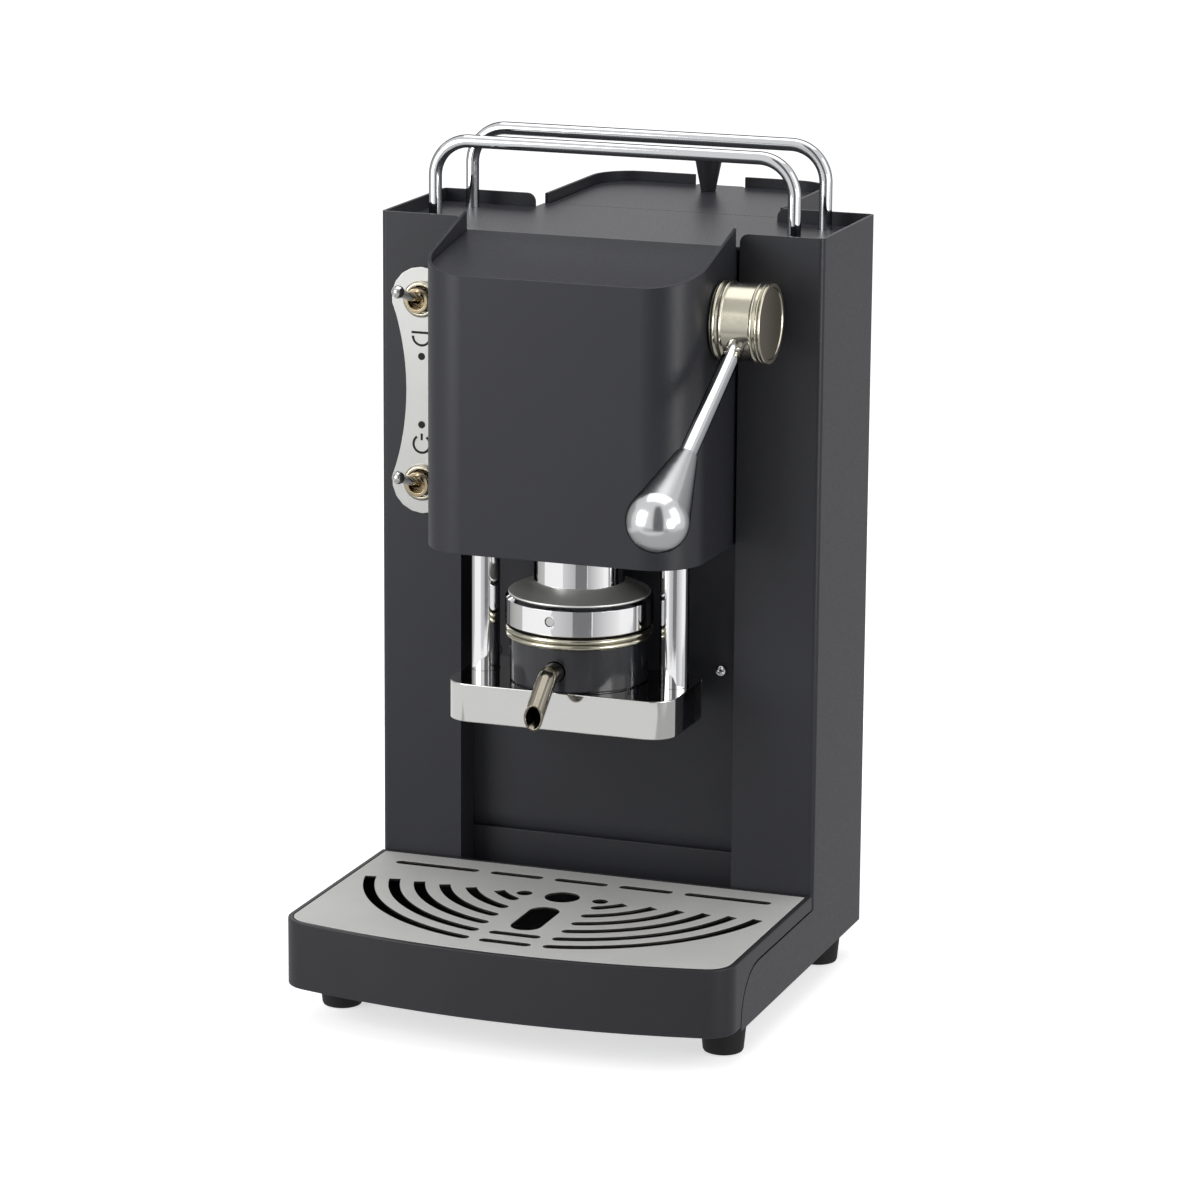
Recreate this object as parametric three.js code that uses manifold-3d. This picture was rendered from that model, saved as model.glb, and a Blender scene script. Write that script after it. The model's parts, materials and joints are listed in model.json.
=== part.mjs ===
// Lever espresso machine for 44 mm paper pods.
// A bent steel body carries a sliding group head on two columns, a lever with a crank,
// two toggle switches, a drip tray with its grille, two cup rails and a rear water tank.
// Units are millimetres. +Z is up, the front looks towards -Y and X runs across.
// While it is being built, y is 0 on the front face of the body and z is 0 on the table.

import * as THREE from 'three';
import { mergeVertices } from 'three/addons/utils/BufferGeometryUtils.js';
import Module from 'manifold-3d';

const wasm = await Module();
wasm.setup();

// Body: two bent side shells, and what stands between them
const bodyWidth = 210;
const bodyDepth = 77;
const bodyHeight = 333;
const footHeight = 16;
const sheet = 1.5;
const gap = 0.3;
const overrun = 4;
const shellBend = 2.5;
const lipCorner = 4;
const recessDepth = 16;
const cupPlateDrop = 6;
const housingSlack = 0.7;
const cheekHeight = 25.4;
const cheekReach = 101;
const cheekRadius = 22;
const wallLap = 4;
const joggleDepth = 4;
const joggleTop = 51.6;
const joggleHeight = 8.5;
const joggleTail = 9;
const upstandHeight = 44;
const panLip = 8;
const panInset = 3;

// Feet
const footTopDiameter = 21;
const footBottomDiameter = 18;
const footEdge = 1.2;
const footRecessDiameter = 8;
const footRecessDepth = 5;
const footSideInset = 14.2;
const footFrontInset = 18.1;
const footRearInset = 21.2;

// Hood over the group
const hoodOverhang = 10.5;
const hoodSideGap = 1.5;
const hoodReach = 62.3;
const hoodCorner = 23;
const hoodFrontDrop = 16;
const hoodFrontHeight = 125;
const hoodRise = 2.6;
const hoodTopDrop = 0.8;
const hoodFloorInset = 2;
const neckClearance = 1.2;

// Columns and lower block
const groupReach = 22.4;
const columnDiameter = 13;
const columnClearance = 5.4;
const columnEdge = 8.8;
const columnSeat = 12;
const blockReach = 53.8;
const blockRear = 1.5;
const blockHeight = 17.6;
const blockCorner = 12;

// Pod cup, seat ring and spout
const cupDiameter = 62.4;
const cupSpigotDiameter = 48;
const cupSeat = 14;
const cupHeight = 33.9;
const podDiameter = 44;
const podClearance = 0.6;
const podDepth = 4.8;
const drainDiameter = 12;
const drainDepth = 15;
const seatRingDiameter = 66.6;
const seatRingHeight = 5;
const seatRingWall = 9.3;
const seatRingGroove = 0.7;
const spoutDiameter = 9;
const spoutWall = 1;
const spoutStub = 6;
const spoutBend = 9;
const spoutFall = 39;
const spoutLength = 24;
const spoutRise = 23.5;
const spoutCutBack = 3;

// Sliding group head
const gasketHeight = 1.2;
const gasketWall = 6;
const flangeDiameter = 58.4;
const flangeHeight = 13;
const coneTopDiameter = 43;
const coneBottomDiameter = 64;
const coneHeight = 4.7;
const coneRim = 0.9;
const clampRingDiameter = 66.6;
const clampRingHeight = 13.1;
const clampRingChamfer = 1.4;
const clampRingEdge = 0.5;
const grubDiameter = 4;
const grubLength = 2.6;
const grubTurn = 3.5;
const neckDiameter = 41;
const neckHeight = 31;
const neckShowing = 16.3;
const showerDiameter = 43;
const showerHeight = 4;
const boilerDiameter = 55;
const boilerEdge = 2;
const thermostatDiameter = 15;
const thermostatHeight = 6;
const thermostatReach = 14;

// Bridge, bearing and crosshead inside the hood
const bridgeSideGap = 5;
const bridgeHeight = 10;
const bridgeLift = 26;
const bridgeReach = 44;
const bridgeCorner = 8;
const boilerClearance = 2;
const bearingWidth = 16;
const bearingDepth = 28;
const bearingWall = 4;
const bushWall = 3;
const bushFlangeWidth = 2;
const bushFlange = 2.5;
const crossheadWidth = 15;
const crossheadWall = 5;
const crossheadRise = 44.6;
const slotPlay = 0.5;

// Lever, hub and crank
const leverAxisDrop = 35;
const leverDrop = 29.45;
const leverSwing = 85;
const hubDiameter = 36;
const hubLength = 23.3;
const hubClearance = 0.5;
const hubBeadWidth = 2.4;
const hubBeadHeight = 0.9;
const hubInnerBeads = 2;
const hubOuterBeads = 3;
const hubDish = 0.4;
const hubRim = 1.6;
const rodDiameter = 7.8;
const rodSeat = 8;
const leverLength = 132.8;
const knobDiameter = 27.5;
const knobNeckDiameter = 10.4;
const knobNeckLength = 41.9;
const knobNeckEdge = 1;
const knobBore = 12;
const shaftDiameter = 16;
const shaftPlay = 0.3;
const shaftSeat = 15;
const wallHoleClearance = 1.5;
const crankRadius = 11;
const crankWebWidth = 6;
const crankWebWall = 3.5;
const crankPinDiameter = 8;
const crankPinOverhang = 1;

// Switch plate and toggle switches on the left front strip
const switchShift = 1;
const switchDrop = 38.7;
const switchSpacing = 84.8;
const switchLobeRadius = 14.7;
const switchEdge = 1;
const switchWaist = 7.6;
const switchPlateThickness = 2;
const switchWaistShare = 0.5;
const toggleCollarDiameter = 11.4;
const toggleCollarLength = 6.5;
const toggleBoreDiameter = 8;
const toggleBoreDepth = 6;
const toggleNutDiameter = 16.8;
const toggleNutBevel = 0.9;
const toggleNutHeight = 2.4;
const toggleBodyWidth = 13;
const toggleBodyHeight = 27;
const toggleBodyDepth = 13.5;
const toggleTilt = 17;
const toggleBatLength = 29;
const toggleBatTip = 6;
const toggleBatNeck = 4.2;
const togglePivotDiameter = 4.4;

// Cup plate and rails
const railDiameter = 6;
const railHeight = 37.4;
const railBend = 16.5;
const railFrontInset = 17.6;
const railRearInset = 13.1;
const railThread = 12;
const railNutFlats = 10;
const railNutHeight = 5;
const cupPlateTongue = 9.5;

// Drip tray and grille
const trayReach = 133;
const trayBow = 402;
const trayCorner = 14;
const trayRim = 2.3;
const trayWall = 2.2;
const trayFloor = 2.2;
const trayBack = 0.7;
const trayHeight = 30.8;
const trayLedge = 2.2;
const cheekClearance = 0.7;
const cheekStep = 3.8;
const grilleThickness = 1.5;
const slotWidth = 5.2;
const arcPitch = 11.56;
const arcInnerRadius = 38.4;
const arcSideMargin = 3;
const arcFrontMargin = 8;
const arcCentreInset = 19.5;
const arcSideInset = 43;
const arcMiddleInset = 20;
const rearSlotInset = 17.7;
const rearSlotWidth = 4.8;
const rearSlotShort = 25.6;
const rearSlotMargin = 11.4;
const rearSlotWeb = 5.8;
const bigHoleDiameter = 16;
const smallHoleDiameter = 7.2;
const smallHoleSpacing = 36.4;
const holeRowInset = 42.5;
const middleSlotWidth = 14;
const middleSlotWeb = 8.4;
const frontSlotLength = 24;
const frontSlotWidth = 4.8;
const frontSlotWeb = 4.6;
const frontSlotMargin = 18.3;
const frontSlotPitch = 12.2;

// Rear housing, water tank and lid
const housingWidth = 116.6;
const housingReach = 94;
const housingCorner = 20;
const housingRimRise = 4.7;
const rimNotch = 25;
const tankWall = 2;
const tankClearance = 2.2;
const tankHeight = 176.9;
const tankTopDrop = 8;
const shelfFlange = 12;
const lidThickness = 2;
const lidClearance = 0.8;
const lidSkirtHeight = 10;
const lidSkirtWall = 1.6;
const lidKnobInset = 19;
const lidKnobBase = 7;
const lidKnobTop = 14;
const lidKnobHeight = 18;
const lidKnobCrown = 1.5;
const ventWidth = 46;
const ventHeight = 3;
const ventPitch = 8;
const ventCount = 5;
const ventLift = 96;

// Pump, its bracket and the power inlet
const pumpCoilWidth = 46;
const pumpCoilDepth = 40;
const pumpCoilHeight = 44;
const pumpCoreDiameter = 18;
const pumpNozzleDiameter = 9;
const pumpNozzleLength = 11;
const pumpCoreLength = 66;
const pumpBracketWidth = 58;
const pumpBracketDepth = 34;
const pumpBracketWall = 2;
const pumpAxisHeight = 50;
const pumpSetback = 28;
const inletWidth = 27;
const inletHeight = 20;
const inletDepth = 22;
const inletFlange = 2.5;
const inletFlangeThickness = 2;
const inletSocketWidth = 22;
const inletSocketHeight = 15;
const inletSocketDepth = 15;
const inletLift = 36;

// Screws that hold the recess wall
const wallScrewSpacing = 109.8;
const wallScrewHeight = 145.6;
const wallScrewDiameter = 5.4;
const wallScrewHead = 1.8;
const wallScrewCross = 1.1;
const wallScrewCrossDepth = 1;

// Numbers of faces
const roundSides = 36;
const smallSides = 16;
const tubeSides = 12;
const bendSteps = 7;
const cornerSteps = 6;
const beadSteps = 2;
const ballSteps = 8;
const hexSides = 6;

// Worked out from the sizes above
const halfBody = bodyWidth / 2;
const bodyTop = footHeight + bodyHeight;
const columnSpacing = clampRingDiameter + columnDiameter + 2 * columnClearance;
const blockWidth = columnSpacing + 2 * columnEdge;
const hoodWidth = blockWidth + 2 * hoodOverhang;
const recessWidth = hoodWidth + 2 * hoodSideGap;
const rearOpening = housingWidth + 2 * housingSlack;
const cupPlateTop = bodyTop - cupPlateDrop;
const cupPlateUnder = cupPlateTop - sheet;
const halfRecess = recessWidth / 2;
const halfStrip = (halfBody - halfRecess) / 2;
const stripCentre = halfRecess + halfStrip;
const panTop = footHeight + sheet;
const hoodFrontTop = bodyTop - hoodFrontDrop;
const hoodBottom = hoodFrontTop - hoodFrontHeight;
const neckBottom = hoodBottom - neckShowing;
const neckTop = neckBottom + neckHeight;
const coneBottom = neckBottom - coneHeight - coneRim;
const headBottom = coneBottom - flangeHeight;
const seatRingTop = headBottom - gasketHeight - gap;
const cupTop = seatRingTop - seatRingHeight;
const cupBottom = cupTop - cupHeight;
const blockTop = cupBottom + cupSeat;
const blockBottom = blockTop - blockHeight;
const bridgeBottom = hoodBottom + bridgeLift;
const bridgeTop = bridgeBottom + bridgeHeight;
const hoodInner = hoodWidth / 2 - sheet;
const bearingOuter = hoodInner - bridgeSideGap;
const bushRadius = shaftDiameter / 2 + shaftPlay + bushWall;
const crankAngle = THREE.MathUtils.degToRad(leverSwing / 2);
const pinForward = crankRadius * Math.cos(crankAngle);
const pinDrop = crankRadius * Math.sin(crankAngle);
const leverAxisHeight = bodyTop - leverAxisDrop;
const boilerTop = leverAxisHeight - pinDrop - crossheadRise;
const switchLobe = Math.min(switchLobeRadius, halfStrip - switchShift - switchEdge);
const webInner = crossheadWidth / 2 + crankPinOverhang;
const trayBottom = panTop + gap;
const trayTop = trayBottom + trayHeight;
const grilleBottom = trayTop - grilleThickness;
const cheekTop = footHeight + cheekHeight;
const housingBack = bodyDepth + housingReach;
const housingInner = housingWidth / 2 - sheet;
const tankHalf = housingInner - tankClearance;
const tankFront = bodyDepth + cupPlateTongue + tankClearance;
const tankBack = housingBack - sheet - tankClearance;
const tankTop = cupPlateTop - tankTopDrop;
const tankFoot = tankTop - tankHeight;
const lidFront = bodyDepth + cupPlateTongue + gap;
const inletSide = housingWidth / 2 - housingCorner - inletWidth / 2 - inletFlange;
const knobFront = groupReach + leverLength * Math.cos(THREE.MathUtils.degToRad(leverDrop)) + knobDiameter / 2;

// Finishes
const finish = (color, roughness, metalness) => ({ color, roughness, metalness });
const finishes = {
  powderCoat: finish(0x2b2c2f, 0.6, 0.2),
  blackPlastic: finish(0x1b1c1e, 0.45, 0),
  rubber: finish(0x17181a, 0.85, 0),
  chrome: finish(0xd9dbdd, 0.08, 1),
  brushedSteel: finish(0xb9babc, 0.35, 1),
  nickel: finish(0xc9c5b4, 0.28, 1),
  aluminium: finish(0xa9abad, 0.4, 1),
  brass: finish(0xb5924c, 0.35, 1),
  zinc: finish(0x9a9c9e, 0.45, 1),
  clearPlastic: finish(0xcfd8dc, 0.12, 0),
  copper: finish(0x9c5b34, 0.5, 0.6),
};

// A geometry's vertices are merged by position, and triangles that close up on themselves go
function solidOf(geometry) {
  const bare = geometry.index ? geometry.toNonIndexed() : geometry.clone();
  bare.deleteAttribute('normal');
  bare.deleteAttribute('uv');
  const merged = mergeVertices(bare);
  const source = merged.index.array;
  const kept = [];
  for (let i = 0; i < source.length; i += 3) {
    const [a, b, c] = [source[i], source[i + 1], source[i + 2]];
    if (a !== b && b !== c && c !== a) kept.push(a, b, c);
  }
  const vertProperties = new Float32Array(merged.attributes.position.array);
  return new wasm.Manifold(new wasm.Mesh({ numProp: 3, vertProperties, triVerts: new Uint32Array(kept) }));
}

function geometryOf(solid) {
  const mesh = solid.getMesh();
  const geometry = new THREE.BufferGeometry();
  geometry.setAttribute('position', new THREE.BufferAttribute(new Float32Array(mesh.vertProperties), 3));
  geometry.setIndex(new THREE.BufferAttribute(new Uint32Array(mesh.triVerts), 1));
  geometry.computeVertexNormals();
  return geometry;
}

function piece(name, solid, look) {
  const mesh = new THREE.Mesh(geometryOf(solid), new THREE.MeshStandardMaterial(finishes[look]));
  mesh.name = name;
  return mesh;
}

// Outlines are lists of points, with their round stretches made by arc()
const at = (x, y) => new THREE.Vector2(x, y);

function arc(x, y, radius, from, to, steps) {
  const turn = index => from + (to - from) * index / steps;
  const point = angle => at(x + radius * Math.cos(angle), y + radius * Math.sin(angle));
  return Array.from({ length: steps + 1 }, (_, i) => point(turn(i)));
}

const quarter = Math.PI / 2;
const circle = (radius, sides, x = 0, y = 0) => new THREE.Shape(
  arc(x, y, radius, 0, 2 * Math.PI * (1 - 1 / sides), sides - 1));

// Corner radii run anticlockwise from the corner at low x and low y
function rectangle(x0, y0, x1, y1, radii = [0, 0, 0, 0]) {
  const corners = [[x0, y0, 1, 1, 2], [x1, y0, -1, 1, 3], [x1, y1, -1, -1, 0], [x0, y1, 1, -1, 1]];
  return new THREE.Shape(corners.flatMap(([x, y, inX, inY, start], i) => (radii[i] > 0
    ? arc(x + inX * radii[i], y + inY * radii[i], radii[i], start * quarter, (start + 1) * quarter,
      cornerSteps)
    : [at(x, y)])));
}

// A slot with round ends; the angle turns it about its centre
function slot(x, y, length, width, angle = 0) {
  const reach = (length - width) / 2;
  const [dx, dy] = [reach * Math.cos(angle), reach * Math.sin(angle)];
  return new THREE.Shape([
    ...arc(x + dx, y + dy, width / 2, angle - quarter, angle + quarter, cornerSteps),
    ...arc(x - dx, y - dy, width / 2, angle + quarter, angle + 3 * quarter, cornerSteps),
  ]);
}

const axisX = new THREE.Vector3(1, 0, 0);
const axisY = new THREE.Vector3(0, 1, 0);
const axisZ = new THREE.Vector3(0, 0, 1);

function extruded(shape, depth) {
  return new THREE.ExtrudeGeometry(shape, { depth, bevelEnabled: false, curveSegments: cornerSteps });
}

// An outline in X and Y, raised from one height to another
function alongZ(shape, from, to) {
  return solidOf(extruded(shape, to - from).translate(0, 0, from));
}

// An outline in Y and Z, drawn out along X
function alongX(shape, from, to) {
  const turned = new THREE.Matrix4().makeBasis(axisY, axisZ, axisX);
  return solidOf(extruded(shape, to - from).applyMatrix4(turned).translate(from, 0, 0));
}

// An outline in X and Z, drawn out along Y
function alongY(shape, from, to) {
  const turned = new THREE.Matrix4().makeBasis(axisX, axisZ, axisY.clone().negate());
  return solidOf(extruded(shape, to - from).applyMatrix4(turned).translate(0, to, 0));
}

const box = (x0, x1, y0, y1, z0, z1) => alongZ(rectangle(x0, y0, x1, y1), z0, z1);

// Turned on Z from [radius, height] pairs that run up the outside, from axis to axis or closed on themselves
function turned(profile, sides = roundSides) {
  const points = profile.map(([radius, height]) => at(radius, height));
  return solidOf(new THREE.LatheGeometry(points, sides).rotateX(quarter));
}

const cylinder = (radius, from, to, sides = roundSides) => turned(
  [[0, from], [radius, from], [radius, to], [0, to]], sides);

// A route made of straight runs between listed points, one step of the sweep for each run
class Route extends THREE.Curve {
  constructor(points) {
    super();
    this.points = points;
  }

  getUtoTmapping(u) {
    return u;
  }

  getPoint(t) {
    const place = t * (this.points.length - 1);
    const index = Math.min(Math.floor(place), this.points.length - 2);
    return this.points[index].clone().lerp(this.points[index + 1], place - index);
  }
}

function swept(section, points) {
  return solidOf(new THREE.ExtrudeGeometry(section, {
    steps: points.length - 1, bevelEnabled: false, curveSegments: cornerSteps, extrudePath: new Route(points),
  }));
}

// Side shell: outer side with the low arm beside the tray, front strip with its return, and rear strip
function sideShell(side) {
  const sidePlate = new THREE.Shape([
    at(-cheekReach, footHeight),
    at(bodyDepth, footHeight),
    at(bodyDepth, bodyTop),
    at(0, bodyTop),
    at(0, cheekTop),
    ...arc(cheekRadius - cheekReach, cheekTop - cheekRadius, cheekRadius, quarter, 2 * quarter, cornerSteps),
  ]);
  const arm = new THREE.Shape([
    at(-cheekReach, footHeight),
    at(shellBend, footHeight),
    at(shellBend, cheekTop),
    ...arc(cheekRadius - cheekReach, cheekTop - cheekRadius, cheekRadius, quarter, 2 * quarter, cornerSteps),
  ]);
  const stripFoot = panTop + gap;
  const frontStrip = rectangle(halfRecess, stripFoot, halfBody, bodyTop, [0, 0, 0, lipCorner]);
  const rearStrip = rectangle(rearOpening / 2, footHeight, halfBody, bodyTop, [0, 0, 0, lipCorner]);
  const bends = rectangle(0, 0, halfBody, bodyDepth, [0, shellBend, shellBend, 0]);
  const shell = alongX(sidePlate, halfBody - sheet, halfBody)
    .add(alongY(frontStrip, 0, sheet))
    .add(alongY(rearStrip, bodyDepth - sheet, bodyDepth))
    .add(box(halfRecess, halfRecess + sheet, 0, recessDepth - gap, stripFoot, cupPlateUnder - gap))
    .intersect(alongZ(bends, footHeight, bodyTop))
    .add(alongX(arm, halfBody - sheet, halfBody));
  const toggleHoles = side < 0 ? [0, 1].map(switchCentre) : [];
  const drilled = toggleHoles.reduce((rest, [x, z]) => rest.subtract(
    alongY(circle(toggleCollarDiameter / 2 + gap, smallSides, -x, z), -overrun, sheet + overrun)), shell);
  return side < 0 ? drilled.mirror([1, 0, 0]) : drilled;
}

function switchCentre(index) {
  return [switchShift - stripCentre, bodyTop - switchDrop - (1 - index) * switchSpacing];
}

// Recess wall between the front strips, joggled back at its foot
function recessWall() {
  const [front, back] = [recessDepth, recessDepth + sheet];
  const joggle = footHeight + joggleTop;
  const profile = new THREE.Shape([
    at(front, cupPlateUnder - gap),
    at(front, joggle),
    at(front + joggleDepth, joggle - joggleHeight),
    at(front + joggleDepth, joggle - joggleHeight - joggleTail),
    at(back + joggleDepth, joggle - joggleHeight - joggleTail),
    at(back + joggleDepth, joggle - joggleHeight),
    at(back, joggle),
    at(back, cupPlateUnder - gap),
  ]);
  return alongX(profile, -halfRecess - wallLap, halfRecess + wallLap);
}

// Base pan under the tray and the body, with the upstand that closes the foot of the recess
function basePan() {
  const half = halfBody - sheet - gap;
  const front = cheekReach - panInset;
  const floor = box(-half, half, -front, bodyDepth - sheet - gap, footHeight, panTop);
  const upstand = box(-halfRecess - wallLap, halfRecess + wallLap, recessDepth, recessDepth + sheet,
    footHeight, footHeight + upstandHeight);
  const rearLip = box(-rearOpening / 2, rearOpening / 2, bodyDepth - 2 * sheet - gap, bodyDepth - sheet - gap,
    footHeight, panTop + panLip);
  return floor.add(upstand).add(rearLip);
}

// Rear wall of the body, inside the rear strips
function rearWall() {
  const outer = bodyDepth - sheet - gap;
  const half = rearOpening / 2 + wallLap;
  return box(-half, half, outer - sheet, outer, panTop + panLip + gap, cupPlateUnder - gap);
}

function foot() {
  const [top, bottom] = [footTopDiameter / 2, footBottomDiameter / 2];
  return turned([
    [0, footRecessDepth], [footRecessDiameter / 2, footRecessDepth], [footRecessDiameter / 2, 0],
    [bottom - footEdge, 0], [bottom, footEdge], [top, footHeight - footEdge], [top - footEdge, footHeight],
    [0, footHeight],
  ], smallSides);
}

// Hood: a wrap with two vertical bends, sloping side edges and a sunk top between them
function hoodPlan(inset) {
  const half = hoodWidth / 2 - inset;
  const front = inset - hoodReach;
  return rectangle(-half, front, half, recessDepth - gap, [hoodCorner - inset, hoodCorner - inset, 0, 0]);
}

function hood() {
  const ceiling = bodyTop + hoodRise + overrun;
  const aboveEdges = new THREE.Shape([
    at(-hoodReach - overrun, hoodFrontTop - overrun * hoodEdgeSlope()),
    at(-gap, bodyTop + hoodRise),
    at(-gap, cupPlateUnder - gap),
    at(bodyDepth, cupPlateUnder - gap),
    at(bodyDepth, ceiling + overrun),
    at(-hoodReach - overrun, ceiling + overrun),
  ]);
  const sunkSlope = (cupPlateTop - hoodFrontTop + hoodTopDrop) / (hoodReach - gap);
  const sunkTop = new THREE.Shape([
    at(-hoodReach - overrun, hoodFrontTop - hoodTopDrop - overrun * sunkSlope),
    at(-hoodReach - overrun, hoodFrontTop - hoodTopDrop - sheet - overrun * sunkSlope),
    at(-gap, cupPlateTop - sheet),
    at(-gap, cupPlateTop),
  ]);
  const wrap = alongZ(hoodPlan(0), hoodBottom, ceiling).subtract(
    alongZ(hoodPlan(sheet), hoodBottom - overrun, ceiling + overrun)
      .add(box(-hoodInner, hoodInner, 0, bodyDepth, hoodBottom - overrun, ceiling + overrun)));
  const top = alongX(sunkTop, -hoodWidth, hoodWidth)
    .intersect(alongZ(hoodPlan(sheet / 2), hoodBottom, ceiling));
  const holeRadius = shaftDiameter / 2 + wallHoleClearance;
  const shaftHole = alongX(circle(holeRadius, smallSides, -groupReach, leverAxisHeight),
    hoodInner - overrun, hoodWidth / 2 + overrun);
  return wrap.subtract(alongX(aboveEdges, -hoodWidth, hoodWidth))
    .add(top).subtract(shaftHole).add(hoodFloor());
}

function hoodEdgeSlope() {
  return (hoodFrontDrop + hoodRise) / (hoodReach - gap);
}

// Floor of the hood, open for the neck and the columns
function hoodFloor() {
  const bottom = hoodBottom + hoodFloorInset;
  const plate = alongZ(hoodPlan(sheet / 2), bottom, bottom + sheet);
  const neckHole = cylinder(neckDiameter / 2 + neckClearance, bottom - overrun, bottom + overrun)
    .translate([0, -groupReach, 0]);
  return columnBores(bottom - overrun, bottom + overrun)
    .reduce((rest, hole) => rest.subtract(hole), plate.subtract(neckHole));
}

const column = () => cylinder(
  columnDiameter / 2, blockTop - columnSeat, bridgeBottom + bridgeHeight / 2, smallSides);

const columnBores = (from, to) => [-1, 1].map(side => cylinder(columnDiameter / 2 + gap, from, to, smallSides)
  .translate([side * columnSpacing / 2, -groupReach, 0]));

// Lower block: bored for the columns and for the spigot of the cup that stands on it
function lowerBlock() {
  const half = blockWidth / 2;
  const plan = rectangle(-half, -blockReach, half, blockRear,
    [blockCorner, blockCorner, blockCorner, blockCorner]);
  const cupBore = cylinder(cupSpigotDiameter / 2 + gap, cupBottom - gap, blockTop + overrun)
    .translate([0, -groupReach, 0]);
  return columnBores(blockTop - columnSeat - gap, blockTop + overrun)
    .reduce((rest, bore) => rest.subtract(bore), alongZ(plan, blockBottom, blockTop).subtract(cupBore));
}

// Pod cup: a flat seat for the pod, a drain below it, a side bore for the spout and a spigot under it
function podCup() {
  const podRadius = podDiameter / 2 + podClearance;
  const body = turned([
    [0, cupBottom], [cupSpigotDiameter / 2, cupBottom], [cupSpigotDiameter / 2, blockTop],
    [cupDiameter / 2, blockTop], [cupDiameter / 2, cupTop], [podRadius, cupTop],
    [podRadius, cupTop - podDepth], [drainDiameter / 2, cupTop - podDepth],
    [drainDiameter / 2, cupTop - drainDepth], [0, cupTop - drainDepth],
  ]);
  const bore = alongY(circle(spoutDiameter / 2 + gap, smallSides, 0, cupBottom + spoutRise), -cupDiameter, 0);
  return body.subtract(bore);
}

function seatRing() {
  const outer = seatRingDiameter / 2;
  const middle = seatRingHeight / 2;
  return turned([
    [outer - seatRingWall, cupTop], [outer - seatRingGroove, cupTop], [outer, cupTop + seatRingGroove],
    [outer, cupTop + middle - seatRingGroove], [outer - seatRingGroove, cupTop + middle],
    [outer, cupTop + middle + seatRingGroove], [outer, seatRingTop - seatRingGroove],
    [outer - seatRingGroove, seatRingTop], [outer - seatRingWall, seatRingTop],
    [outer - seatRingWall, cupTop],
  ]);
}

// Spout: a bent tube, cut off upright at its mouth
function spout() {
  const start = -(cupDiameter / 2 - drainDiameter / 2);
  const fall = THREE.MathUtils.degToRad(spoutFall);
  const bendFront = -cupDiameter / 2 - spoutStub;
  const height = cupBottom + spoutRise;
  const route = [new THREE.Vector3(0, start, height)];
  for (let i = 0; i <= bendSteps; i += 1) {
    const turn = fall * i / bendSteps;
    const [y, z] = [bendFront - spoutBend * Math.sin(turn), height - spoutBend * (1 - Math.cos(turn))];
    route.push(new THREE.Vector3(0, y, z));
  }
  const tangent = new THREE.Vector3(0, -Math.cos(fall), -Math.sin(fall));
  const mouth = route[route.length - 1].clone().addScaledVector(tangent, spoutLength);
  route.push(mouth);
  const section = circle(spoutDiameter / 2, tubeSides);
  section.holes.push(circle(spoutDiameter / 2 - spoutWall, tubeSides));
  const beyond = box(-spoutDiameter, spoutDiameter, mouth.y - spoutDiameter, mouth.y + spoutCutBack,
    mouth.z - spoutDiameter, mouth.z + spoutDiameter);
  return swept(section, route).subtract(beyond);
}

// Group head, all turned on the column plane's middle axis
function gasket() {
  const [outer, low] = [flangeDiameter / 2, headBottom - gasketHeight];
  const inner = outer - gasketWall;
  return turned([[inner, low], [outer, low], [outer, headBottom], [inner, headBottom], [inner, low]]);
}

function headFlange() {
  const rim = coneBottom + coneRim;
  return turned([
    [0, headBottom], [flangeDiameter / 2, headBottom], [flangeDiameter / 2, coneBottom],
    [coneBottomDiameter / 2, coneBottom], [coneBottomDiameter / 2, rim],
    [coneTopDiameter / 2, rim + coneHeight], [0, rim + coneHeight],
  ]);
}

function clampRing() {
  const [inner, outer] = [flangeDiameter / 2 + gap, clampRingDiameter / 2];
  const [low, high] = [coneBottom - gap - clampRingHeight, coneBottom - gap];
  const ring = turned([
    [inner, low], [outer - clampRingEdge, low], [outer, low + clampRingEdge],
    [outer, high - clampRingChamfer], [outer - clampRingChamfer, high], [inner, high], [inner, low],
  ]);
  return ring.subtract(grubBore(grubDiameter / 2 + gap));
}

// The grub screw's axis is turned a little to the left of the front
function grubBore(radius) {
  return solidOf(new THREE.CylinderGeometry(radius, radius, clampRingDiameter, smallSides)
    .translate(0, -clampRingDiameter / 2, 0)
    .rotateZ(-THREE.MathUtils.degToRad(grubTurn))
    .translate(0, 0, coneBottom - gap - clampRingHeight / 2));
}

function grubScrew() {
  const reach = clampRingDiameter / 2 - clampRingEdge;
  const shell = turned([
    [reach - grubLength, -grubDiameter], [reach, -grubDiameter], [reach, grubDiameter],
    [reach - grubLength, grubDiameter], [reach - grubLength, -grubDiameter],
  ]).translate([0, 0, coneBottom - gap - clampRingHeight / 2]);
  return grubBore(grubDiameter / 2).intersect(shell);
}

const neck = () => cylinder(neckDiameter / 2, neckBottom, neckTop);

const showerDisc = () => cylinder(showerDiameter / 2, headBottom - showerHeight, headBottom);

function boiler() {
  const radius = boilerDiameter / 2;
  return turned([
    [0, neckTop], [radius - boilerEdge, neckTop], [radius, neckTop + boilerEdge],
    [radius, boilerTop - boilerEdge], [radius - boilerEdge, boilerTop], [0, boilerTop],
  ]);
}

const thermostat = () => cylinder(thermostatDiameter / 2, 0, thermostatHeight, smallSides);

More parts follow.
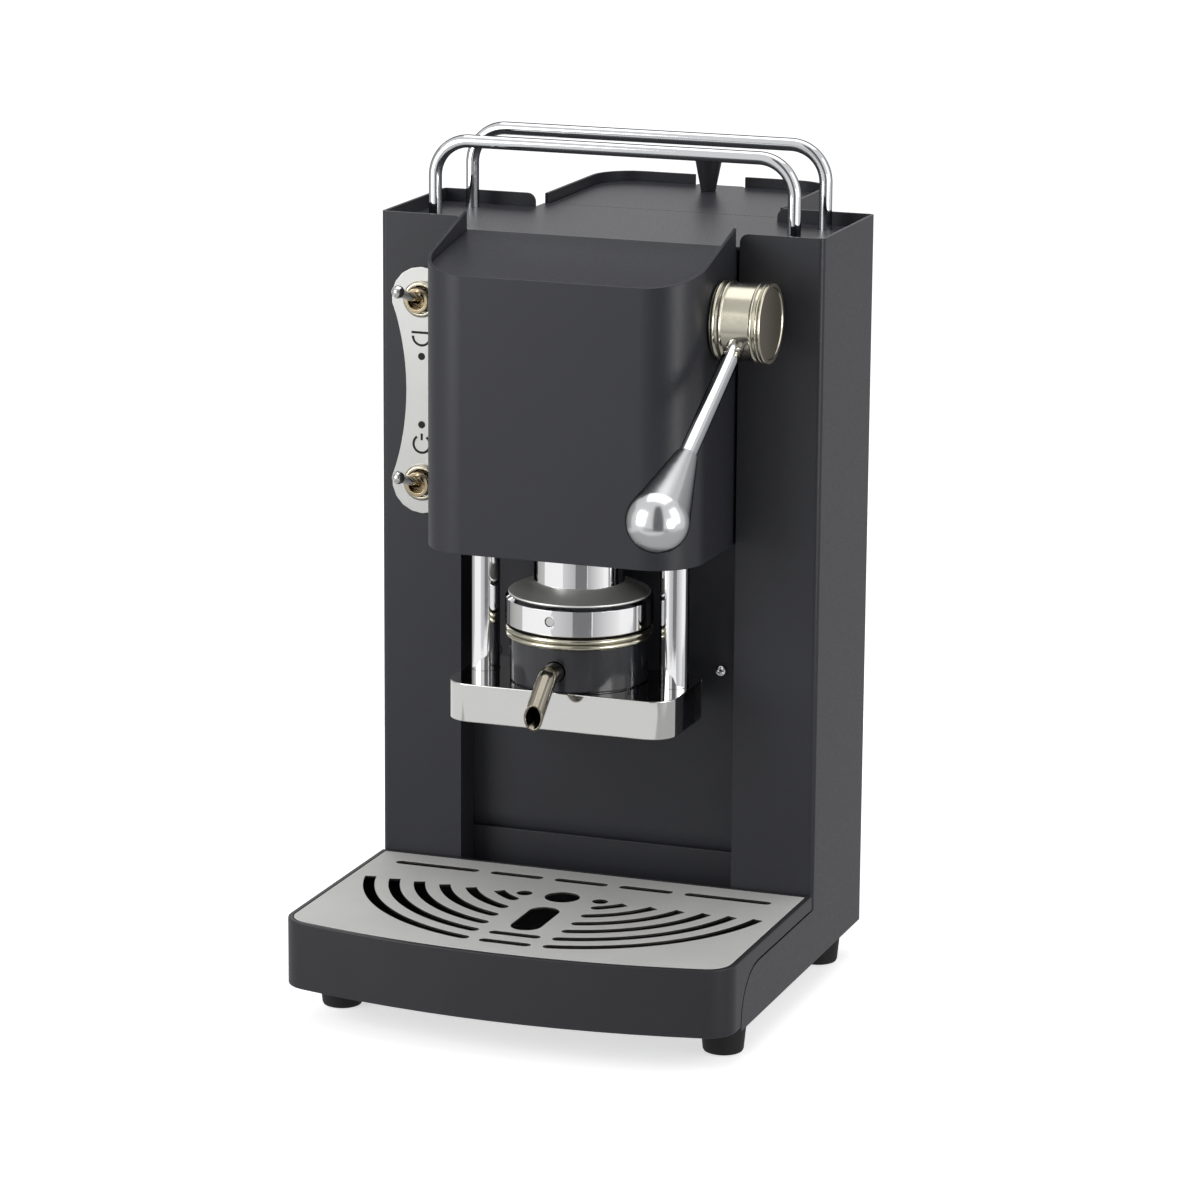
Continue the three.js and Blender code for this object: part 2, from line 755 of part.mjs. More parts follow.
// Crosshead: an upright on the boiler with the crosswise slot that the crank pin works in
function crosshead() {
  const slotHalf = crankPinDiameter / 2 + slotPlay;
  const [near, far] = [-groupReach - pinForward, -groupReach - crankRadius];
  const pinHeight = leverAxisHeight - pinDrop;
  const outline = rectangle(far - slotHalf - crossheadWall, boilerTop, near + slotHalf + crossheadWall,
    pinHeight + slotHalf + crossheadWall, [0, 0, crossheadWall, crossheadWall]);
  const window = slot((near + far) / 2, pinHeight, near - far + 2 * slotHalf, 2 * slotHalf);
  return alongX(outline, -crossheadWidth / 2, crossheadWidth / 2)
    .subtract(alongX(window, -crossheadWidth, crossheadWidth));
}

// Bridge: the plate inside the hood that ties the column tops to the recess wall
function bridge() {
  const plan = rectangle(-bearingOuter, -bridgeReach, bearingOuter, recessDepth - gap,
    [bridgeCorner, bridgeCorner, 0, 0]);
  const boreRadius = boilerDiameter / 2 + boilerClearance;
  const boilerBore = cylinder(boreRadius, bridgeBottom - overrun, bridgeTop + overrun)
    .translate([0, -groupReach, 0]);
  return columnBores(bridgeBottom - overrun, bridgeBottom + bridgeHeight / 2 + gap)
    .reduce((rest, bore) => rest.subtract(bore), alongZ(plan, bridgeBottom, bridgeTop).subtract(boilerBore));
}

// Bearing block, upright on the bridge's right end
function bearingBlock() {
  const top = leverAxisHeight + bushRadius + gap + bearingWall;
  const outline = rectangle(-groupReach - bearingDepth / 2, bridgeTop, -groupReach + bearingDepth / 2, top,
    [0, 0, bearingWall, bearingWall]);
  return alongX(outline, bearingOuter - bearingWidth, bearingOuter)
    .subtract(alongX(circle(bushRadius + gap, smallSides, -groupReach, leverAxisHeight),
      bearingOuter - bearingWidth - overrun, bearingOuter + overrun));
}

function shaftBush() {
  const inner = shaftDiameter / 2 + shaftPlay;
  const profile = [
    [inner, -bearingWidth], [bushRadius, -bearingWidth], [bushRadius, 0], [bushRadius + bushFlange, 0],
    [bushRadius + bushFlange, bushFlangeWidth], [inner, bushFlangeWidth], [inner, -bearingWidth],
  ];
  return turned(profile, smallSides);
}

// Lever pieces: the hub, shaft and crank are turned on Z and laid along X by their group
function hub() {
  const [radius, waist] = [hubDiameter / 2, hubDiameter / 2 - hubBeadHeight];
  const bead = start => Array.from({ length: beadSteps }, (_, i) => {
    const turn = Math.PI * (i + 1) / (beadSteps + 1);
    return [waist + hubBeadHeight * Math.sin(turn), start + hubBeadWidth * (1 - Math.cos(turn)) / 2];
  });
  const beads = (count, start) => Array.from({ length: count }, (_, i) => [
    [waist, start + i * hubBeadWidth], ...bead(start + i * hubBeadWidth)]).flat();
  const outerStart = hubLength - hubOuterBeads * hubBeadWidth;
  const body = turned([
    [0, 0],
    ...beads(hubInnerBeads, 0), [waist, hubInnerBeads * hubBeadWidth],
    ...beads(hubOuterBeads, outerStart), [waist, hubLength],
    [waist - hubRim, hubLength], [waist - hubRim - hubDish, hubLength - hubDish],
    [0, hubLength - hubDish],
  ]);
  const rodBore = alongX(circle(rodDiameter / 2 + gap, smallSides, 0, hubLength / 2),
    hubDiameter / 2 - rodSeat - gap, hubDiameter);
  return body.subtract(rodBore).subtract(cylinder(shaftDiameter / 2 + gap, -overrun, shaftSeat, smallSides));
}

function crankShaft() {
  const length = hoodWidth / 2 + hubClearance + shaftSeat - webInner;
  const pin = new THREE.Vector2(crankRadius, 0);
  const [big, small] = [shaftDiameter / 2 + crankWebWall, crankPinDiameter / 2 + crankWebWall];
  const lean = Math.asin((big - small) / crankRadius);
  const web = new THREE.Shape([
    ...arc(0, 0, big, quarter - lean, 4 * quarter - (quarter - lean), 2 * cornerSteps),
    ...arc(pin.x, pin.y, small, lean - quarter, quarter - lean, cornerSteps),
  ]);
  return cylinder(shaftDiameter / 2, crankWebWidth / 2, length, smallSides)
    .add(alongZ(web, 0, crankWebWidth))
    .add(cylinder(crankPinDiameter / 2, -crossheadWidth - 2 * crankPinOverhang, crankWebWidth / 2, smallSides)
      .translate([pin.x, pin.y, 0]));
}

const rod = () => cylinder(
  rodDiameter / 2, hubDiameter / 2 - rodSeat, leverLength - knobNeckLength + knobBore, smallSides);

// Knob: a ball with a cone that leaves it on a tangent, turned along the rod
function knob() {
  const [ball, neckRadius] = [knobDiameter / 2, knobNeckDiameter / 2];
  const reach = Math.hypot(knobNeckLength, neckRadius);
  const flank = Math.asin(ball / reach) - Math.atan2(neckRadius, knobNeckLength);
  const start = leverLength - knobNeckLength;
  const crown = Array.from({ length: ballSteps }, (_, i) => {
    const turn = -flank + (quarter + flank) * i / ballSteps;
    return [ball * Math.cos(turn), leverLength + ball * Math.sin(turn)];
  });
  const bore = rodDiameter / 2 + gap;
  return turned([
    [0, start + knobBore + gap], [bore, start + knobBore + gap], [bore, start],
    [neckRadius - knobNeckEdge, start], [neckRadius, start + knobNeckEdge], ...crown,
    [0, leverLength + ball],
  ]);
}

// Switch plate: two round lobes joined by a waist
function switchPlate() {
  const [low, high] = [switchCentre(0), switchCentre(1)];
  const middle = (low[1] + high[1]) / 2;
  const rise = (high[1] - low[1]) / 2;
  const bow = switchLobe - switchWaist;
  const open = Math.asin(switchWaistShare);
  const flare = arcThrough(rise - switchLobe * Math.sin(open), bow - switchLobe * (1 - Math.cos(open)));
  const sideArc = side => arc(low[0] + side * (switchWaist + flare), middle, flare,
    side > 0 ? Math.PI + openingOf(flare, rise, open) : openingOf(flare, rise, open),
    side > 0 ? Math.PI - openingOf(flare, rise, open) : -openingOf(flare, rise, open), 2 * cornerSteps);
  const outline = new THREE.Shape([
    ...arc(low[0], low[1], switchLobe, -2 * quarter - open, open, 2 * cornerSteps),
    ...sideArc(1).slice(1, -1),
    ...arc(high[0], high[1], switchLobe, -open, 2 * quarter + open, 2 * cornerSteps),
    ...sideArc(-1).slice(1, -1),
  ]);
  outline.holes = [low, high].map(([x, z]) => circle(toggleCollarDiameter / 2 + gap, smallSides, x, z));
  return alongY(outline, -switchPlateThickness, 0);
}

// Radius of an arc that rises by one height over half a chord
const arcThrough = (halfChord, height) => (halfChord ** 2 + height ** 2) / (2 * height);
const openingOf = (radius, rise, open) => Math.asin((rise - switchLobe * Math.sin(open)) / radius);

// Toggle switch: collar in front, body behind the strip; drawn at its own centre
function toggleBody() {
  const collarFront = -switchPlateThickness - toggleCollarLength;
  const behind = sheet + gap;
  const bore = alongY(circle(toggleBoreDiameter / 2, smallSides), collarFront - overrun,
    collarFront + toggleBoreDepth);
  return alongY(circle(toggleCollarDiameter / 2, smallSides), collarFront, behind + overrun)
    .add(box(-toggleBodyWidth / 2, toggleBodyWidth / 2, behind, behind + toggleBodyDepth,
      -toggleBodyHeight / 2, toggleBodyHeight / 2))
    .subtract(bore);
}

function railNut() {
  const outline = circle(railNutFlats / Math.sqrt(3), hexSides);
  outline.holes.push(circle(railDiameter / 2 + gap, smallSides));
  return alongZ(outline, 0, railNutHeight);
}

// Round nut that holds a toggle switch, bevelled in front
function toggleNut() {
  const [bore, outer] = [toggleCollarDiameter / 2 + gap, toggleNutDiameter / 2];
  return turned([
    [bore, 0], [outer, 0], [outer, toggleNutHeight - toggleNutBevel],
    [outer - toggleNutBevel, toggleNutHeight], [bore, toggleNutHeight], [bore, 0],
  ], smallSides);
}

// Bat: a round root in the collar, a widening stem and a ball end, turned on Z
function toggleBat() {
  const [root, stem, tip] = [togglePivotDiameter / 2, toggleBatNeck / 2, toggleBatTip / 2];
  const ballCentre = toggleBatLength - tip;
  const meet = Math.asin(stem / tip);
  const crown = Array.from({ length: cornerSteps }, (_, i) => {
    const turn = -quarter + meet + (2 * quarter - meet) * i / cornerSteps;
    return [tip * Math.cos(turn), ballCentre + tip * Math.sin(turn)];
  });
  return turned([[0, -root], [root, 0], [stem, root], ...crown, [0, toggleBatLength]], smallSides);
}

// Cup plate with its tongue over the rear housing and holes for the rail ends
function cupPlate() {
  const half = halfBody - sheet - gap;
  const main = box(-half, half, sheet + gap, bodyDepth - sheet - gap, cupPlateUnder, cupPlateTop);
  const front = box(-halfRecess + gap, halfRecess - gap, 0, 2 * sheet, cupPlateUnder, cupPlateTop);
  const tongueHalf = rearOpening / 2 - gap;
  const tongue = box(-tongueHalf, tongueHalf, bodyDepth - 2 * sheet, bodyDepth + cupPlateTongue,
    cupPlateUnder, cupPlateTop);
  return railFeet().reduce((rest, [x, y]) => rest.subtract(
    cylinder(railDiameter / 2 + gap, cupPlateUnder - overrun, cupPlateTop + overrun, smallSides)
      .translate([x, y, 0])), main.add(front).add(tongue));
}

const railRows = () => [railFrontInset, bodyDepth - railRearInset];
const railFeet = () => railRows().flatMap(y => [-1, 1].map(side => [side * stripCentre, y]));

// Rail: up one leg, round a bend, across, and down again
function rail() {
  const route = [new THREE.Vector3(-stripCentre, 0, cupPlateTop - railThread)];
  for (const side of [-1, 1]) {
    for (let i = 0; i <= bendSteps; i += 1) {
      const turn = quarter * (side < 0 ? i : bendSteps - i) / bendSteps;
      route.push(new THREE.Vector3(side * (stripCentre - railBend * (1 - Math.cos(turn))), 0,
        cupPlateTop + railHeight - railBend * (1 - Math.sin(turn))));
    }
  }
  route.push(new THREE.Vector3(stripCentre, 0, cupPlateTop - railThread));
  return swept(circle(railDiameter / 2, tubeSides), route);
}

// Drip tray plan: straight back and sides, bowed front
function trayPlan(inset, backInset) {
  const half = halfBody - inset;
  const back = -trayBack - backInset;
  const radius = trayCorner - inset;
  const bow = trayBow - inset;
  const centre = trayBow - trayReach;
  const cornerX = half - radius;
  const tilt = Math.asin(cornerX / (bow - radius));
  const cornerY = centre - (bow - radius) * Math.cos(tilt);
  const front = arc(0, centre, bow, 3 * quarter - tilt, 3 * quarter + tilt, 2 * cornerSteps);
  return new THREE.Shape([
    at(-half, back),
    ...arc(-cornerX, cornerY, radius, 2 * quarter, 3 * quarter - tilt, cornerSteps).slice(0, -1),
    ...front,
    ...arc(cornerX, cornerY, radius, 3 * quarter + tilt, 4 * quarter, cornerSteps).slice(1),
    at(half, back),
  ]);
}

// Drip tray: one moulding with a deep basin, a ledge for the grille and flanks that clear the side arms
function dripTray() {
  const basinHalfInset = trayWall + cheekStep;
  const armClear = new THREE.Shape([
    at(-cheekReach - cheekClearance, trayBottom - overrun),
    at(overrun, trayBottom - overrun),
    at(overrun, cheekTop + cheekClearance),
    ...arc(cheekRadius - cheekReach, cheekTop - cheekRadius, cheekRadius + cheekClearance, quarter,
      2 * quarter, cornerSteps),
  ]);
  const armInner = halfBody - sheet - cheekClearance;
  const [leftEnds, rightEnds] = [[-halfBody - overrun, -armInner], [armInner, halfBody + overrun]];
  const basinPlan = trayPlan(basinHalfInset, trayRim + trayLedge);
  return alongZ(trayPlan(0, 0), trayBottom, trayTop)
    .subtract(alongZ(trayPlan(trayRim, trayRim), grilleBottom - gap, trayTop + overrun))
    .subtract(alongZ(basinPlan, trayBottom + trayFloor, trayTop + overrun))
    .subtract(alongX(armClear, ...leftEnds))
    .subtract(alongX(armClear, ...rightEnds));
}

// One curved slot of the grille, with round ends, from the side end to the middle end
function arcSlot(radius, side) {
  const centreY = -arcCentreInset;
  const sideEnd = Math.asin((arcSideInset - arcCentreInset) / radius);
  const middleEnd = Math.acos(arcMiddleInset / radius);
  const steps = cornerSteps + beadSteps;
  const [outer, inner] = [radius + slotWidth / 2, radius - slotWidth / 2];
  const cap = (turn, start) => arc(radius * Math.cos(turn), centreY - radius * Math.sin(turn), slotWidth / 2,
    start, start - 2 * quarter, cornerSteps / 2).slice(1, -1);
  const points = [
    ...arc(0, centreY, outer, -sideEnd, -middleEnd, steps),
    ...cap(middleEnd, -middleEnd),
    ...arc(0, centreY, inner, -middleEnd, -sideEnd, steps),
    ...cap(sideEnd, 2 * quarter - sideEnd),
  ];
  return new THREE.Path(points.map(point => at(side * point.x, point.y)));
}

// Grille: concentric curved slots either side of a long drain, with a row of slots at the back
function grille() {
  const inset = trayRim + gap;
  const plate = trayPlan(inset, inset);
  const frontRoom = trayReach - inset - arcCentreInset - arcFrontMargin;
  const arcRoom = Math.min(halfBody - inset - arcSideMargin, frontRoom);
  const arcCount = Math.floor((arcRoom - slotWidth / 2 - arcInnerRadius) / arcPitch) + 1;
  const radii = Array.from({ length: arcCount }, (_, i) => arcInnerRadius + i * arcPitch);
  const shortStep = rearSlotShort + rearSlotWeb;
  const longStart = shortStep + rearSlotShort / 2 + rearSlotWeb;
  const longEnd = halfBody - inset - rearSlotMargin;
  const frontRows = [0, 1].map(row => trayReach - frontSlotMargin - row * frontSlotPitch);
  const middleStart = holeRowInset + bigHoleDiameter / 2 + middleSlotWeb;
  const middleReach = frontRows[1] - frontSlotWidth / 2 - frontSlotWeb;
  const middleEnd = Math.max(middleReach, middleStart + middleSlotWidth + gap);
  const longCentre = (longStart + longEnd) / 2;
  plate.holes = [
    ...radii.flatMap(radius => [-1, 1].map(side => arcSlot(radius, side))),
    ...[-1, 0, 1].map(step => slot(step * shortStep, -rearSlotInset, rearSlotShort, rearSlotWidth)),
    ...[-1, 1].map(side => slot(side * longCentre, -rearSlotInset, longEnd - longStart, rearSlotWidth)),
    circle(bigHoleDiameter / 2, smallSides, 0, -holeRowInset),
    ...[-1, 1].map(side => side * smallHoleSpacing / 2)
      .map(x => circle(smallHoleDiameter / 2, smallSides, x, -holeRowInset)),
    slot(0, -(middleStart + middleEnd) / 2, middleEnd - middleStart, middleSlotWidth, quarter),
    ...frontRows.map(row => slot(0, -row, frontSlotLength, frontSlotWidth)),
  ];
  return alongZ(plate, grilleBottom, trayTop);
}

// Rear housing: a wrap round the tank with a floor, a rim with a notch, vents and the inlet's cut-out
function housingPlan(inset) {
  const radius = housingCorner - inset;
  return rectangle(inset - housingWidth / 2, bodyDepth - sheet, housingWidth / 2 - inset, housingBack - inset,
    [0, 0, radius, radius]);
}

function rearHousing() {
  const rimTop = cupPlateTop + housingRimRise;
  const rimStart = bodyDepth + cupPlateTongue + gap;
  const wrap = alongZ(housingPlan(0), footHeight, rimTop)
    .subtract(alongZ(housingPlan(sheet), panTop, rimTop + overrun))
    .subtract(box(-housingInner, housingInner, 0, bodyDepth, panTop, rimTop + overrun));
  const underPlate = box(-housingWidth, housingWidth, 0, rimStart, cupPlateUnder - gap, rimTop + overrun);
  const notch = box(-rimNotch / 2, rimNotch / 2, housingBack - housingCorner, housingBack + overrun,
    cupPlateTop - lidThickness - gap, rimTop + overrun);
  const inletHole = box(-inletSide - inletWidth / 2 - gap, -inletSide + inletWidth / 2 + gap,
    housingBack - overrun, housingBack + overrun,
    footHeight + inletLift - inletHeight / 2 - gap, footHeight + inletLift + inletHeight / 2 + gap);
  const vents = Array.from({ length: ventCount }, (_, i) => alongY(
    slot(0, footHeight + ventLift + i * ventPitch, ventWidth, ventHeight), housingBack - overrun,
    housingBack + overrun));
  return vents.reduce((rest, vent) => rest.subtract(vent), wrap.subtract(underPlate).subtract(notch)
    .subtract(inletHole));
}

// Shelf that the tank stands on, with its flanges turned down
function tankShelf() {
  const half = housingInner - gap;
  const [front, back] = [bodyDepth + gap, housingBack - housingCorner];
  const plate = box(-half, half, front, back, tankFoot - sheet, tankFoot);
  const flanges = [-1, 1].map(side => box(side < 0 ? -half : half - sheet, side < 0 ? sheet - half : half,
    front, back, tankFoot - shelfFlange, tankFoot));
  return plate.add(flanges[0]).add(flanges[1]);
}

function tankPlan(inset) {
  const radius = housingCorner - sheet - tankClearance - inset;
  return rectangle(inset - tankHalf, tankFront + inset, tankHalf - inset, tankBack - inset,
    [tankClearance, tankClearance, radius, radius]);
}

function waterTank() {
  const half = tankHalf - tankWall;
  const radius = housingCorner - sheet - tankClearance - tankWall;
  const inside = rectangle(-half, tankFront + tankWall, half, tankBack - tankWall, [0, 0, radius, radius]);
  return alongZ(tankPlan(0), tankFoot, tankTop)
    .subtract(alongZ(inside, tankFoot + tankWall, tankTop + overrun));
}

// Lid: flush with the cup plate, with a tab in the rim's notch and a skirt inside the tank
function tankLid() {
  const inset = sheet + lidClearance;
  const radius = housingCorner - inset;
  const half = housingWidth / 2 - inset;
  const plate = alongZ(rectangle(-half, lidFront, half, housingBack - inset, [0, 0, radius, radius]),
    cupPlateTop - lidThickness, cupPlateTop);
  const tabHalf = rimNotch / 2 - lidClearance;
  const tab = alongZ(rectangle(-tabHalf, housingBack - inset - overrun, tabHalf, housingBack,
    [0, 0, lidClearance, lidClearance]), cupPlateTop - lidThickness, cupPlateTop);
  const skirtInset = tankWall + lidClearance;
  const skirtPlan = inner => {
    const [side, corner] = [tankHalf - inner, housingCorner - sheet - tankClearance - inner];
    return rectangle(-side, tankFront + inner, side, tankBack - inner, [0, 0, corner, corner]);
  };
  const [skirtTop, skirtFoot] = [cupPlateTop - lidThickness, cupPlateTop - lidThickness - lidSkirtHeight];
  const skirt = alongZ(skirtPlan(skirtInset), skirtFoot, skirtTop)
    .subtract(alongZ(skirtPlan(skirtInset + lidSkirtWall), skirtFoot - overrun, skirtTop));
  return plate.add(skirt).add(tab);
}

function lidKnob() {
  const [base, top] = [lidKnobBase / 2, lidKnobTop / 2];
  return turned([
    [0, 0], [base, 0], [top, lidKnobHeight - lidKnobCrown], [top - lidKnobCrown, lidKnobHeight],
    [0, lidKnobHeight],
  ], smallSides);
}

// Pump parts, drawn along X at the pump's own centre
function pumpCoil() {
  const outline = rectangle(-pumpCoilDepth / 2, -pumpCoilHeight / 2, pumpCoilDepth / 2, pumpCoilHeight / 2,
    [lipCorner, lipCorner, lipCorner, lipCorner]);
  outline.holes.push(circle(pumpCoreDiameter / 2 + gap, smallSides));
  return alongX(outline, -pumpCoilWidth / 2, pumpCoilWidth / 2);
}

function pumpCore() {
  const half = pumpCoreLength / 2;
  return alongX(circle(pumpCoreDiameter / 2, smallSides), -half, half)
    .add(alongX(circle(pumpNozzleDiameter / 2, smallSides), -half - pumpNozzleLength,
      half + pumpNozzleLength));
}

function pumpBracket() {
  const half = pumpBracketWidth / 2;
  const drop = pumpAxisHeight - sheet;
  const foot = box(-half, half, -pumpBracketDepth / 2, pumpBracketDepth / 2, -drop, pumpBracketWall - drop);
  const ears = [-1, 1].map(side => alongX(rectangle(-pumpBracketDepth / 2, -drop, pumpBracketDepth / 2,
    pumpCoreDiameter, [0, 0, lipCorner, lipCorner]), side < 0 ? -half : half - pumpBracketWall,
  side < 0 ? pumpBracketWall - half : half));
  return foot.add(ears[0]).add(ears[1])
    .subtract(alongX(circle(pumpCoreDiameter / 2 + gap, smallSides), -pumpBracketWidth, pumpBracketWidth));
}

// Power inlet: flange outside, body inside the wall, socket open to the back
function powerInlet() {
  const flange = box(-inletWidth / 2 - inletFlange, inletWidth / 2 + inletFlange, 0, inletFlangeThickness,
    -inletHeight / 2 - inletFlange, inletHeight / 2 + inletFlange);
  const body = box(-inletWidth / 2, inletWidth / 2, -inletDepth, inletFlangeThickness,
    -inletHeight / 2, inletHeight / 2);
  const socket = box(-inletSocketWidth / 2, inletSocketWidth / 2, inletFlangeThickness - inletSocketDepth,
    inletFlangeThickness + overrun, -inletSocketHeight / 2, inletSocketHeight / 2);
  return flange.add(body).subtract(socket);
}

// Pan-head screw with a cross recess, turned on Z
function wallScrew() {
  const radius = wallScrewDiameter / 2;
  const head = turned([
    [0, 0], [radius, 0], [radius, wallScrewHead / 2], [radius / 2, wallScrewHead], [0, wallScrewHead],
  ], smallSides);
  const cut = (width, depth) => box(-width / 2, width / 2, -depth / 2, depth / 2,
    wallScrewHead - wallScrewCrossDepth, wallScrewHead + overrun);
  return head.subtract(cut(radius, wallScrewCross)).subtract(cut(wallScrewCross, radius));
}

// Assembly
const machine = new THREE.Group();
machine.position.y = (knobFront - housingBack - inletFlangeThickness) / 2;

const place = (object, x, y, z) => {
  object.position.set(x, y, z);
  return object;
};

function assembly(...children) {
  const group = new THREE.Group();
  for (const child of children) group.add(child);
  machine.add(group);
  return group;
}

assembly(
  piece('side_shell_left', sideShell(-1), 'powderCoat'),
  piece('side_shell_right', sideShell(1), 'powderCoat'),
  piece('recess_wall', recessWall(), 'powderCoat'),
  piece('rear_wall', rearWall(), 'powderCoat'),
  piece('base_pan', basePan(), 'powderCoat'),
  piece('hood', hood(), 'powderCoat'),
  piece('cup_plate', cupPlate(), 'powderCoat'),
);

for (const [row, y] of [['front', footFrontInset - cheekReach], ['rear', bodyDepth - footRearInset]]) {
  for (const [hand, side] of [['left', -1], ['right', 1]]) {
    assembly(place(piece(`foot_${row}_${hand}`, foot(), 'rubber'), side * (halfBody - footSideInset), y, 0));
  }
}

for (const [hand, side] of [['left', -1], ['right', 1]]) {
  const screw = piece(`wall_screw_${hand}`, wallScrew(), 'zinc');
  screw.rotation.x = quarter;
  assembly(place(screw, side * wallScrewSpacing / 2, recessDepth, wallScrewHeight));
  assembly(place(piece(`column_${hand}`, column(), 'chrome'), side * columnSpacing / 2, -groupReach, 0));
}

assembly(
  piece('lower_block', lowerBlock(), 'chrome'),
  piece('bridge', bridge(), 'aluminium'),
  piece('bearing_block', bearingBlock(), 'aluminium'),
  piece('crosshead', crosshead(), 'zinc'),
);

place(assembly(
  piece('pod_cup', podCup(), 'blackPlastic'),
  piece('seat_ring', seatRing(), 'nickel'),
  piece('spout', spout(), 'nickel'),
  piece('gasket', gasket(), 'rubber'),
  piece('head_flange', headFlange(), 'chrome'),
  piece('clamp_ring', clampRing(), 'chrome'),
  piece('grub_screw', grubScrew(), 'brushedSteel'),
  piece('neck', neck(), 'chrome'),
  piece('shower_disc', showerDisc(), 'brushedSteel'),
  piece('boiler', boiler(), 'brass'),
  place(piece('thermostat', thermostat(), 'blackPlastic'), -thermostatReach, thermostatReach, boilerTop),
), 0, -groupReach, 0);

// The lever's group lies with its Z along the shaft; the arm points forward and down
const shaftPieces = assembly();
place(shaftPieces, 0, -groupReach, leverAxisHeight);
shaftPieces.rotation.y = quarter;

const bush = piece('shaft_bush', shaftBush(), 'brass');
shaftPieces.add(place(bush, 0, 0, bearingOuter + gap));

const crank = piece('crank_shaft', crankShaft(), 'brushedSteel');
crank.rotation.z = crankAngle - quarter;
shaftPieces.add(place(crank, 0, 0, webInner));

const arm = new THREE.Group();
arm.rotation.z = THREE.MathUtils.degToRad(leverDrop) - quarter;
shaftPieces.add(place(arm, 0, 0, hoodWidth / 2 + hubClearance + gap));
arm.add(piece('lever_hub', hub(), 'nickel'));
for (const lever of [piece('lever_rod', rod(), 'chrome'), piece('lever_knob', knob(), 'chrome')]) {
  lever.rotation.y = quarter;
  arm.add(place(lever, 0, 0, hubLength / 2));
}

assembly(piece('switch_plate', switchPlate(), 'brushedSteel'));
for (const [index, name] of ['lower', 'upper'].entries()) {
  const [x, z] = switchCentre(index);
  const nut = piece(`toggle_nut_${name}`, toggleNut(), 'nickel');
  nut.rotation.x = quarter;
  const bat = piece(`toggle_bat_${name}`, toggleBat(), 'nickel');
  bat.rotation.x = quarter - THREE.MathUtils.degToRad(toggleTilt);
  const collarFront = -switchPlateThickness - toggleCollarLength;
  place(assembly(
    piece(`toggle_switch_${name}`, toggleBody(), 'nickel'),
    place(nut, 0, -switchPlateThickness, 0),
    place(bat, 0, collarFront + toggleBoreDepth - togglePivotDiameter / 2 - gap, 0),
  ), x, 0, z);
}

for (const [index, y] of railRows().entries()) {
  const row = ['front', 'rear'][index];
  assembly(place(piece(`rail_${row}`, rail(), 'chrome'), 0, y, 0));
  for (const [hand, side] of [['left', -1], ['right', 1]]) {
    const nut = piece(`rail_nut_${row}_${hand}`, railNut(), 'zinc');
    assembly(place(nut, side * stripCentre, y, cupPlateUnder - railNutHeight));
  }
}

assembly(
  piece('drip_tray', dripTray(), 'blackPlastic'),
  piece('grille', grille(), 'brushedSteel'),
);

assembly(
  piece('rear_housing', rearHousing(), 'powderCoat'),
  piece('tank_shelf', tankShelf(), 'zinc'),
  piece('water_tank', waterTank(), 'clearPlastic'),
  piece('tank_lid', tankLid(), 'powderCoat'),
  place(piece('lid_knob', lidKnob(), 'blackPlastic'), 0, housingBack - lidKnobInset, cupPlateTop),
  place(piece('power_inlet', powerInlet(), 'blackPlastic'), -inletSide, housingBack, footHeight + inletLift),
);

place(assembly(
  piece('pump_coil', pumpCoil(), 'copper'),
  piece('pump_core', pumpCore(), 'brass'),
  piece('pump_bracket', pumpBracket(), 'zinc'),
), 0, bodyDepth + pumpSetback, footHeight + pumpAxisHeight);

export default machine;
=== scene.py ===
# %% [markdown]
# This notebook dresses a lever espresso machine for a studio picture. The engineering model is
# loaded first and stays where it is: its pieces give every size and place, and each visible piece
# is then modelled finer over it, in metres, in the same frame.

# %% Load the frame
import json
import math

import bmesh
import bpy
from mathutils import Matrix, Vector


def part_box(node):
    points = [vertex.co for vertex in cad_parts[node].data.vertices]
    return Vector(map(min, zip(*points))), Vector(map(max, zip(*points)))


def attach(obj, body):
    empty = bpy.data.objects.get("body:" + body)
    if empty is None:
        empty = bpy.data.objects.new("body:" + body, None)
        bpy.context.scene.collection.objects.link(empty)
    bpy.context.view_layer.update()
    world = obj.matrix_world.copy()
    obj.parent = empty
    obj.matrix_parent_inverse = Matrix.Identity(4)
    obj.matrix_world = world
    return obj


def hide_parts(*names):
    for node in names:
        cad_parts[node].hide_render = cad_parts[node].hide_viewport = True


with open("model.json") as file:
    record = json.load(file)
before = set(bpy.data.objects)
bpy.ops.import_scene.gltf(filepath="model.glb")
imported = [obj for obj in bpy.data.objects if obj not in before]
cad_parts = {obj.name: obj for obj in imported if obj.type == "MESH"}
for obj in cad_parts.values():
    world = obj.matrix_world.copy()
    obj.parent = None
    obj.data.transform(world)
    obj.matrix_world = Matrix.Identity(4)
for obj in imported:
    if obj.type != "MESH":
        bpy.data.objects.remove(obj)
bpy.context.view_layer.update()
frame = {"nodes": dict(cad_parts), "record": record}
bpy.ops.object.select_all(action="DESELECT")

# %% [markdown]
# A drawing is easiest to read in millimetres, with the depth counted from the flat front of the
# body. One function turns such a place into the frame's metres, and another turns it back.

# %% Places in millimetres
MM = 0.001
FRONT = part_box("switch_plate")[1][1]


def at(x, y, z):
    return Vector((x * MM, FRONT + y * MM, z * MM))


def span(node_name):
    """Lowest and highest corner of a frame piece, in millimetres."""
    low, high = (Vector(corner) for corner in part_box(node_name))
    shift = Vector((0, FRONT, 0))
    return (low - shift) / MM, (high - shift) / MM


def centre(node_name):
    low, high = span(node_name)
    return (low + high) / 2


def placed(name, data):
    """A new object with this data, in the scene."""
    made = bpy.data.objects.new(name, data)
    bpy.context.collection.objects.link(made)
    return made


GROUP = centre("neck").y
AXIS = (0, GROUP, 0)
LEVER = centre("lever_hub")
print("group axis at", round(GROUP, 2), "and lever axis at", [round(v, 2) for v in LEVER])

